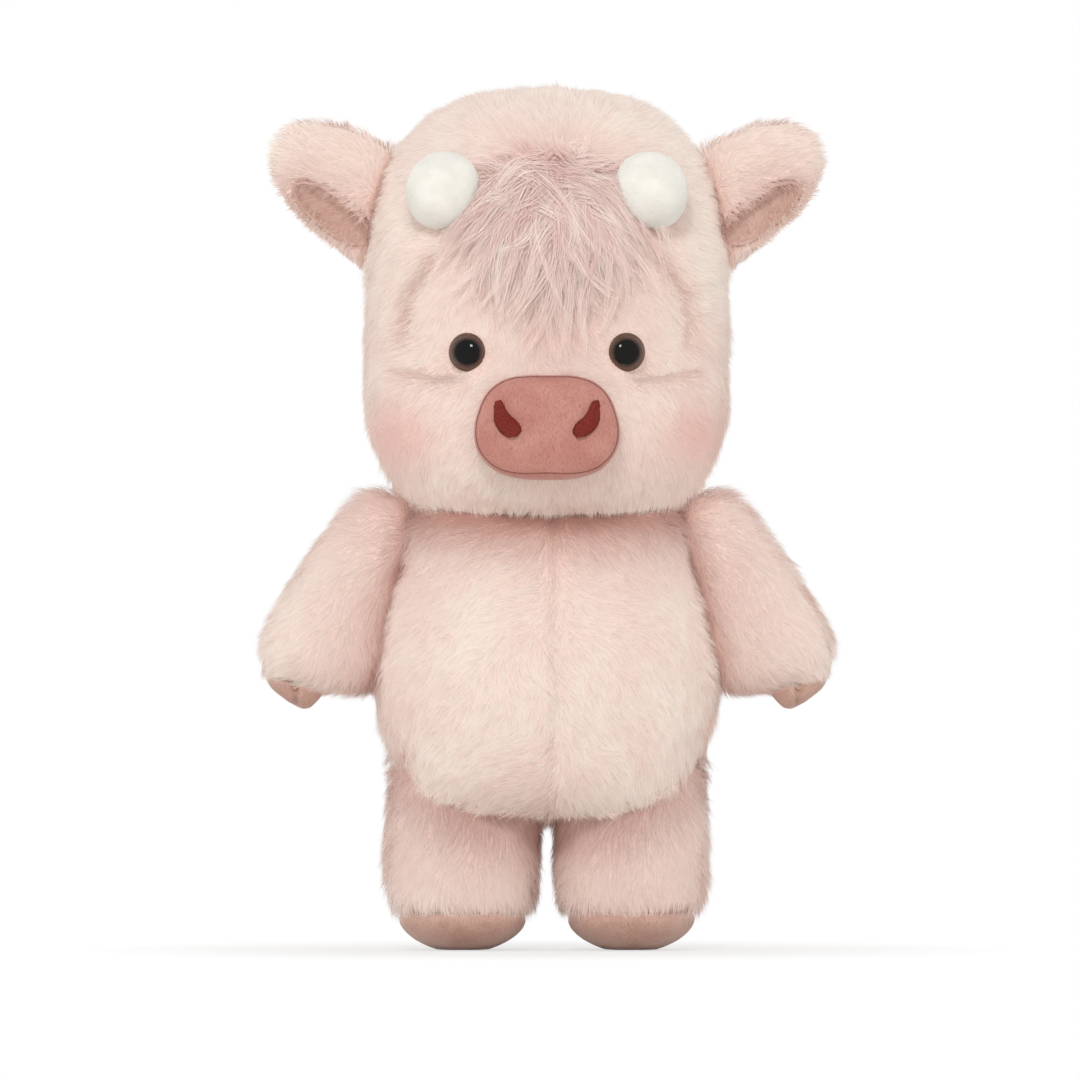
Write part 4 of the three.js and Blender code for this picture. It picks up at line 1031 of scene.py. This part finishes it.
def tubes(name, paths, radius, sides=6):
    """One mesh of round tubes along paths of equal length, closed at both ends."""
    paths = np.asarray(paths, float)
    count, stations, _ = paths.shape
    steps = unit(np.gradient(paths, axis=1))
    across = unit(np.cross(steps, [0.13, 0.97, 0.2]))
    lifted = np.cross(steps, across)
    angles = 2 * math.pi * np.arange(sides) / sides
    rings = across[:, :, None] * np.cos(angles)[:, None] + lifted[:, :, None] * np.sin(angles)[:, None]
    points = (paths[:, :, None] + radius * rings).reshape(-1, 3)
    faces = []
    for start in range(0, len(points), stations * sides):
        last = start + (stations - 1) * sides
        faces += ring_faces(start, stations, sides)
        faces.append(tuple(range(start + sides - 1, start - 1, -1)))
        faces.append(tuple(range(last, last + sides)))
    return mesh_object(name, points, faces)


def object_tree(obj):
    return BVHTree.FromObject(obj, bpy.context.evaluated_depsgraph_get())


FRONT = 0.2  # well in front of the toy


def front_hit(tree, x, z):
    """The first point of a form seen from straight in front, or None."""
    return tree.ray_cast(Vector((x, -FRONT, z)), Vector((0, 1, 0)))[0]


# Nostrils: satin stitches laid side by side across each embroidered comma
STITCH_PITCH = 0.42 * MM
STITCH_RADIUS = 0.25 * MM
STITCH_CROWN = 0.35 * MM
BLUNT_RADIUS = 1.9 * MM  # of the comma's upper end


def satin_stitches(node):
    low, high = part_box(node)
    tree = tree_of([node])
    paths = []
    for z in np.arange(low.z + STITCH_PITCH / 2, high.z, STITCH_PITCH):
        hits = [front_hit(tree, x, z) for x in np.arange(low.x, high.x, 0.15 * MM)]
        hits = [hit for hit in hits if hit]
        if not hits:
            continue
        from_top = min(1, (high.z - z) / BLUNT_RADIUS)
        blunt = BLUNT_RADIUS * math.sqrt(1 - (1 - from_top) ** 2)
        centre = (hits[0].x + hits[-1].x) / 2
        reach = max(blunt, (hits[-1].x - hits[0].x) / 2)
        path = []
        for share in np.linspace(0, 1, 7):
            x = centre + reach * (2 * share - 1)
            over = front_hit(tree, x, z) or front_hit(muzzle_tree, x, z)
            crown = STITCH_CROWN * math.sin(math.pi * share)
            sunk = 0.9 * MM * (2 * share - 1) ** 6
            path.append((x, over.y - crown + sunk, z + 0.5 * MM * (share - 0.5)))
        paths.append(path)
    return paths


muzzle_tree = object_tree(muzzle)
satin = thread_finish("nostril_thread", srgb(146, 52, 40), srgb(98, 30, 24))
for node in pair("nostril"):
    stitches = tubes(f"{node}_stitches", satin_stitches(node), STITCH_RADIUS)
    attach(stitches, satin, "head", node)


# Eyes: a domed plastic button with a smoky ring round a black pupil
def turned(name, profile, place, axis, segments=64):
    """A closed turned mesh from pairs of radius and height along an axis."""
    across = unit(np.cross(axis, [0, 0, 1.0]))
    up = np.cross(across, axis)
    angles = 2 * math.pi * np.arange(segments) / segments
    spokes = np.cos(angles)[:, None] * across + np.sin(angles)[:, None] * up
    points = np.concatenate([place + height * axis + radius * spokes for radius, height in profile])
    obj = mesh_object(name, points, ring_faces(0, len(profile), segments))
    form = bmesh.new()
    form.from_mesh(obj.data)
    bmesh.ops.remove_doubles(form, verts=form.verts, dist=WELD)
    bmesh.ops.recalc_face_normals(form, faces=form.faces)
    form.to_mesh(obj.data)
    form.free()
    return obj


def mark_pupil(eye, pupil):
    """Keeps how far from the pupil each corner shows from in front, as it lies deep behind the clear dome."""
    across = points_of(eye.data)[:, [0, 2]] - pupil[[0, 2]]
    ring = eye.data.attributes.new("ring", "FLOAT", "POINT")
    ring.data.foreach_set("value", (np.linalg.norm(across, axis=1) / EYE_RADIUS).astype(np.float32))


def eye_finish():
    finish = Finish("eye_button", Roughness=0.05, Specular_IOR_Level=0.2)
    ring = finish.painted("ring")
    streaks = finish.noise(0.9 * MM, 3.0)
    smoke = finish.mix(streaks, srgb(78, 56, 46), srgb(124, 98, 86))
    pupil = finish.span(ring, 0.6, 0.82)
    inside = finish.mix(pupil, srgb(4, 3, 2), smoke)
    finish.colour(finish.mix(finish.span(ring, 0.88, 1.0, 0.0, 0.8), inside, srgb(34, 24, 20)))
    return finish.material


def eye_profile(radius, rim, apex, shank_end):
    """A domed button with a flat back, on a shank."""
    arc = np.radians(np.arange(0, 90, 6))
    dome = [(radius * math.cos(a), rim + (apex - rim) * math.sin(a)) for a in arc]
    shank = radius / 3
    back = [(shank, rim - 1.2 * MM), (0.97 * radius, rim - 0.5 * MM)]
    return [(0, shank_end), (shank, shank_end), *back, *dome, (0, apex)]


def eye_button(node):
    """A turned button in the place of an eye's solid, along that solid's own axis."""
    corners = np.unique(np.round(points_of(nodes[node].data), 7), axis=0)
    centre = corners.mean(0)
    _, directions = np.linalg.eigh(np.cov((corners - centre).T))
    axis = directions[:, np.argmax(np.abs(directions[1]))]
    axis = -axis * np.sign(axis[1])
    heights = (corners - centre) @ axis
    radii = np.linalg.norm(corners - centre - heights[:, None] * axis, axis=1)
    rim = heights[radii > 0.99 * radii.max()].min()
    profile = eye_profile(EYE_RADIUS, rim, heights.max(), heights.min())
    eye = turned(f"{node}_button", profile, centre, axis)
    mark_pupil(eye, centre + rim * axis)
    return eye


button = eye_finish()
for node in EYES:
    attach(eye_button(node), button, "head", node)


# Forelock: wisps of long pile that fan out from a whorl between the horns, the longest down between the eyes
WISPS = 300
WISP_STRANDS = 34
WISP_STATIONS = 10
HAIR_WIDTH = 0.21 * MM
WISP_TO_EYE = 5 * MM  # the least way from a wisp's end to an eye
WISP_SPREAD = 1.8 * MM  # between the strands at a wisp's start
WISP_WAVE = 1.5 * MM  # how far wisps sway
STRAND_WAVE = 0.9 * MM  # and how much more their strands do
STRAND_RISE = 0.7 * MM
FAN = 38  # degrees by which wisps fan out, and more in the whorl's upper part
UPPER_FAN = 60
SIDE_FAN = 48  # degrees by which a wisp at the whorl's side leans outward
MOST_HEADING = 165
WHORL_SIZE = np.array([17 * MM, 9 * MM])
HAIR_REACH = ([0, 25, 50, 70, 100, 140, 180], [62, 54, 38, 26, 19, 15, 13])  # degrees from straight down, mm
head_tree = object_tree(skins["head"])


def on_head(x, z, lift):
    """A point above the head's skin, as seen from in front."""
    hit = front_hit(head_tree, x, z)
    return np.array(hit) + np.array([0, -lift, 0])


def share_clear_of_eyes(start, end):
    """How much of a straight way in the front view comes before it nears an eye."""
    shares = np.linspace(0, 1, 41)
    spots = start + shares[:, None] * (end - start)
    near = shares[from_eye(spots[:, 0], spots[:, 1]) < EYE_RADIUS + WISP_TO_EYE]
    return near.min() if len(near) else 1.0


def wisp(dice):
    """One wisp: strands that start side by side and draw together towards its end."""
    angle = 2 * math.pi * dice.random()
    offset = math.sqrt(dice.random()) * np.array([math.cos(angle), math.sin(angle)])
    start = WHORL[[0, 2]] + WHORL_SIZE * offset
    upper = max(0, offset[1])
    heading = (FAN + UPPER_FAN * upper**2) * dice.normal() + SIDE_FAN * offset[0] * (1 + 0.6 * upper)
    heading = np.clip(heading, -MOST_HEADING, MOST_HEADING)
    length = np.interp(abs(heading), *HAIR_REACH) * MM * (0.55 + 0.45 * dice.random() ** 0.6)
    heading = math.radians(heading)
    way = length * np.array([math.sin(heading), -math.cos(heading)])
    end = start + share_clear_of_eyes(start, start + way) * way
    aside = np.array([math.cos(heading), math.sin(heading)])
    control = (start + end) / 2 + aside * 0.24 * length * dice.normal() + np.array([0, 0.12 * length])
    wave = WISP_WAVE * dice.normal()
    turns = 5 + 6 * dice.random()
    phase = 2 * math.pi * dice.random()
    height = (1.5 + 5.5 * dice.random()) * MM
    shares = np.linspace(0, 1, WISP_STATIONS)
    paths = []
    for _ in range(WISP_STRANDS):
        spread = dice.normal(size=2) * WISP_SPREAD
        stop = 0.78 + 0.22 * dice.random()
        own = STRAND_WAVE * dice.normal()
        rise = STRAND_RISE * dice.normal()
        path = []
        for share in shares * stop:
            curve = (1 - share) ** 2 * start + 2 * share * (1 - share) * control + share**2 * end
            sway = (wave + own) * share * math.sin(turns * share + phase)
            x, z = curve + spread * (1 - 0.72 * share) + aside * sway
            lift = 0.6 * PILE_DEPTH + height * math.sin(math.pi * (0.12 + 0.7 * share)) + rise
            path.append(on_head(x, z, lift))
        paths.append(path)
    return paths


def hair_paths():
    dice = dice_for("forelock")
    paths = []
    tones = []
    for _ in range(WISPS):
        tone = dice.random()
        paths += wisp(dice)
        tones += [0.6 * tone + 0.4 * dice.random() for _ in range(WISP_STRANDS)]
    paths = np.array(paths)
    steps = unit(np.gradient(paths, axis=1)).mean(1)
    forward = np.array([0.0, -1.0, 0.25])
    outward = unit(forward - steps * (steps @ forward)[:, None])
    return paths, outward, tinted(paths, tones)


def hair_finish():
    finish = Finish("forelock_hair", Roughness=0.65, Sheen_Weight=0.2, Specular_IOR_Level=0.3)
    tone, along, _, _ = finish.pile()
    toned = finish.mix(finish.span(tone, 0.2, 0.8), srgb(228, 190, 184), srgb(255, 240, 232))
    cloud = finish.span(finish.noise(12 * MM), 0.4, 0.6, 0.0, 0.3)
    mixed = finish.mix(cloud, toned, srgb(240, 206, 199))
    deep = finish.span(along, 0.0, 0.35, 0.35, 0.0)
    rooted = finish.mix(deep, mixed, srgb(222, 182, 175))
    # Lighter towards the tips: painted light that lifts the forelock's ends out of the shade its own strands
    # cast
    tip = finish.span(along, 0.4, 1.0, 0.0, 0.8)
    finish.colour(finish.mix(tip, rooted, srgb(255, 238, 230)))
    return finish.material


paths, outward, marks = hair_paths()
widths, rolls = widths_and_rolls(HAIR_WIDTH, len(paths), dice_for("forelock_width"))
forelock = new_object("forelock_hair", strand_mesh("forelock_hair", paths, outward, widths, rolls, marks))
hair = hair_finish()
attach(forelock, hair, "head", "forelock")

# Ear linings: a pinker, shorter pile in the pocket
# The ear pile's third colour is the painted shade that its strands darken to at their roots
ear_pile = fur_finish(
    "ear_pile", srgb(226, 196, 184), srgb(217, 182, 169), srgb(206, 168, 154), srgb(230, 208, 196))
lining_cloth = backing_finish("ear_lining_cloth", srgb(212, 176, 163), srgb(192, 154, 141))
for side in SIDES:
    node, ear = f"ear_lining_{side}", f"ear_{side}"
    lining = cut_skin(f"{node}_skin", [node], [ear], depth=0.15 * MM, voxel=0.7 * MM, smoothing=2)
    shade_smooth(lining)
    attach(lining, lining_cloth, ear, node)
    comb = comb_outward(anchor_of(f"ear_flap_{side}"), drop=0.9)
    nap = {"length": 4 * MM, "density": 3.4, "width": 0.26 * MM, "lean": (38, 62), "tints": lining_tints}
    attach_pile(grow(f"{node}_pile", lining, [], comb, **nap), ear_pile, ear)

# Tail tuft: long strands round a stuffed core
tuft = cut_skin("tail_tuft_core", ["tail_tuft"], ["tail"], depth=2.0 * MM, voxel=1.3 * MM, smoothing=4)
shade_smooth(tuft)
attach(tuft, backing, "tail", "tail_tuft")
long_hair = {"length": 9 * MM, "density": 7.0, "width": 0.3 * MM, "lean": (28, 55, 70)}
attach_pile(grow("tail_tuft_hair", tuft, ["tail"], comb_down, **long_hair), hair, "tail")


# Muzzle seam: a sunk line of thread close to the pad's edge
SEAM_SET_IN = 0.7 * MM
SEAM_DROP = 1.7 * MM  # how much further in it lies along the lower edge
SEAM_THREAD = 0.24 * MM


def outline_course(tree, centre, set_in, drop, count=120):
    """A closed course over a form's front, set in from its outline, and further in along its lower edge."""
    course = []
    for angle in 2 * math.pi * np.arange(count + 1) / count:
        heading = np.array([math.cos(angle), math.sin(angle)])
        near, far = 0.0, 40 * MM
        for _ in range(14):
            reach = (near + far) / 2
            x, z = centre + reach * heading
            if front_hit(tree, x, z):
                near = reach
            else:
                far = reach
        inside = near - set_in - drop * max(0, -heading[1]) ** 2
        course.append(front_hit(tree, *(centre + inside * heading)))
    return course


course = outline_course(muzzle_tree, muzzle_middle[[0, 2]], SEAM_SET_IN, SEAM_DROP)
muzzle_seam = tubes("muzzle_seam", [course], SEAM_THREAD)
seam_thread = thread_finish("seam_thread", srgb(150, 92, 82), srgb(118, 66, 58))
attach(muzzle_seam, seam_thread, "head")

# Inside the toy: moulded, metal and woven finishes for the pieces that the skins cover
nylon = moulded_finish("joint_nylon", srgb(232, 232, 226), srgb(214, 214, 206), 0.45)
case_plastic = moulded_finish("case_plastic", srgb(240, 240, 236), srgb(226, 226, 220), 0.5)
cap_plastic = moulded_finish("cap_plastic", srgb(206, 58, 44), srgb(184, 46, 36), 0.45)
black_plastic = moulded_finish("black_plastic", srgb(36, 36, 38), srgb(22, 22, 24), 0.5)
laminate = moulded_finish("board_laminate", srgb(46, 106, 68), srgb(34, 84, 54), 0.4)
steel = steel_finish("bright_steel")
tape_weave = backing_finish("closure_tape", srgb(232, 214, 204), srgb(206, 186, 176))
INSIDE = {
    nylon: ("neck_", "shoulder_stud", "shoulder_washer", "shoulder_lock_nut", "eye_washer"),
    case_plastic: ("case_front", "case_back", "battery_door"),
    cap_plastic: ("press_cap",),
    black_plastic: ("tact_switch", "speaker"),
    laminate: ("circuit_board",),
    steel: ("return_spring", "battery_cell", "contact_", "battery_door_screw", "case_screw"),
    tape_weave: ("hook_tape", "loop_tape"),
}
for material, starts in INSIDE.items():
    for name, node in nodes.items():
        if name.startswith(starts):
            for slot in node.material_slots:
                slot.material = material

# Return spring: a copy of the steel coil, with a mesh of its own; in the toy the press cap shortens it
# against the circuit board
coil = copy_of("return_spring_coil", ["return_spring"])
shade_smooth(coil)
attach(coil, steel, "torso", "return_spring")
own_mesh(coil)

# Stage, light and camera
CAMERA_DISTANCE = 6.0
FRAME_WIDTH = 361.8 * MM  # how much of the world the picture shows across, at the toy
VIEW_CENTRE = Vector((-2.3 * MM, 0, 137.4 * MM))
SENSOR = 36.0

camera = new_object("camera", bpy.data.cameras.new("camera"))
camera.data.sensor_width = SENSOR
camera.data.lens = SENSOR * CAMERA_DISTANCE / FRAME_WIDTH
camera.location = VIEW_CENTRE + Vector((0, -CAMERA_DISTANCE, 0))
camera.rotation_euler = (math.pi / 2, 0, 0)
scene.camera = camera


def seen_ray(tree):
    """1 for the rays that show the background: to the camera, in a mirror or through glass."""
    path = tree.node("LightPath")
    either = tree.maths("MAXIMUM", path.outputs["Is Camera Ray"], path.outputs["Is Glossy Ray"])
    return tree.maths("MAXIMUM", either, path.outputs["Is Transmission Ray"])


FLOOR_FADE = (0.07, 0.16)  # m from the toy's middle, where the floor fades to plain white
NEAR_WHITE = 0.65  # how white it is already beside the toy


def floor_finish():
    """Pale paper that fades to plain white away from the toy and keeps the toy's shadow."""
    finish = Finish("studio_floor", Roughness=0.9, Specular_IOR_Level=0.0)
    grain = finish.noise(2 * MM, 2.0)
    finish.colour(finish.mix(grain, srgb(228, 226, 223), srgb(234, 232, 229)))
    glow = finish.node("Emission")
    near = finish.node("VectorMath", operation="LENGTH")
    finish.feed(near.inputs[0], finish.node("TexCoord").outputs["Object"])
    white = finish.span(near.outputs["Value"], *FLOOR_FADE, NEAR_WHITE, 1.0)
    blend = finish.node("MixShader")
    finish.feed(blend.inputs[0], finish.maths("MULTIPLY", seen_ray(finish), white))
    finish.feed(blend.inputs[1], finish.shader.outputs["BSDF"])
    finish.feed(blend.inputs[2], glow.outputs["Emission"])
    finish.feed(finish.tree.nodes["Material Output"].inputs["Surface"], blend.outputs["Shader"])
    return finish.material


FLOOR_RADIUS = 8.0
floor_form = bmesh.new()
bmesh.ops.create_circle(floor_form, cap_ends=True, radius=FLOOR_RADIUS, segments=64)
floor_mesh = bpy.data.meshes.new("floor")
floor_form.to_mesh(floor_mesh)
floor_form.free()
floor = new_object("floor", floor_mesh)
dress(floor, floor_finish())

WORLD_FILL = 0.53  # the strength of the light from all round, where the white background isn't seen itself
world = bpy.data.worlds.new("studio")
scene.world = world
world.use_nodes = True
sky = Nodes(world.node_tree)
background = world.node_tree.nodes["Background"]
background.inputs["Color"].default_value = WHITE
sky.feed(background.inputs["Strength"], sky.span(seen_ray(sky), 0.0, 1.0, WORLD_FILL, 1.0))


def softbox(name, place, size, power, mirrored=True):
    lamp = bpy.data.lights.new(name, "AREA")
    lamp.size = size
    lamp.energy = power
    obj = new_object(name, lamp)
    obj.location = place
    aim = VIEW_CENTRE - Vector(place)
    obj.rotation_euler = aim.to_track_quat("-Z", "Y").to_euler()
    obj.visible_glossy = mirrored


softbox("key", (-0.15, -1.3, 0.9), 0.26, 7.4)
softbox("low", (0.0, -1.2, 0.04), 0.7, 1.8, mirrored=False)
softbox("side_left", (1.3, -0.35, 0.5), 0.9, 3.5, mirrored=False)
softbox("side_right", (-1.3, -0.35, 0.5), 0.9, 3.5, mirrored=False)
softbox("top", (0.1, 0.6, 1.8), 1.2, 5)
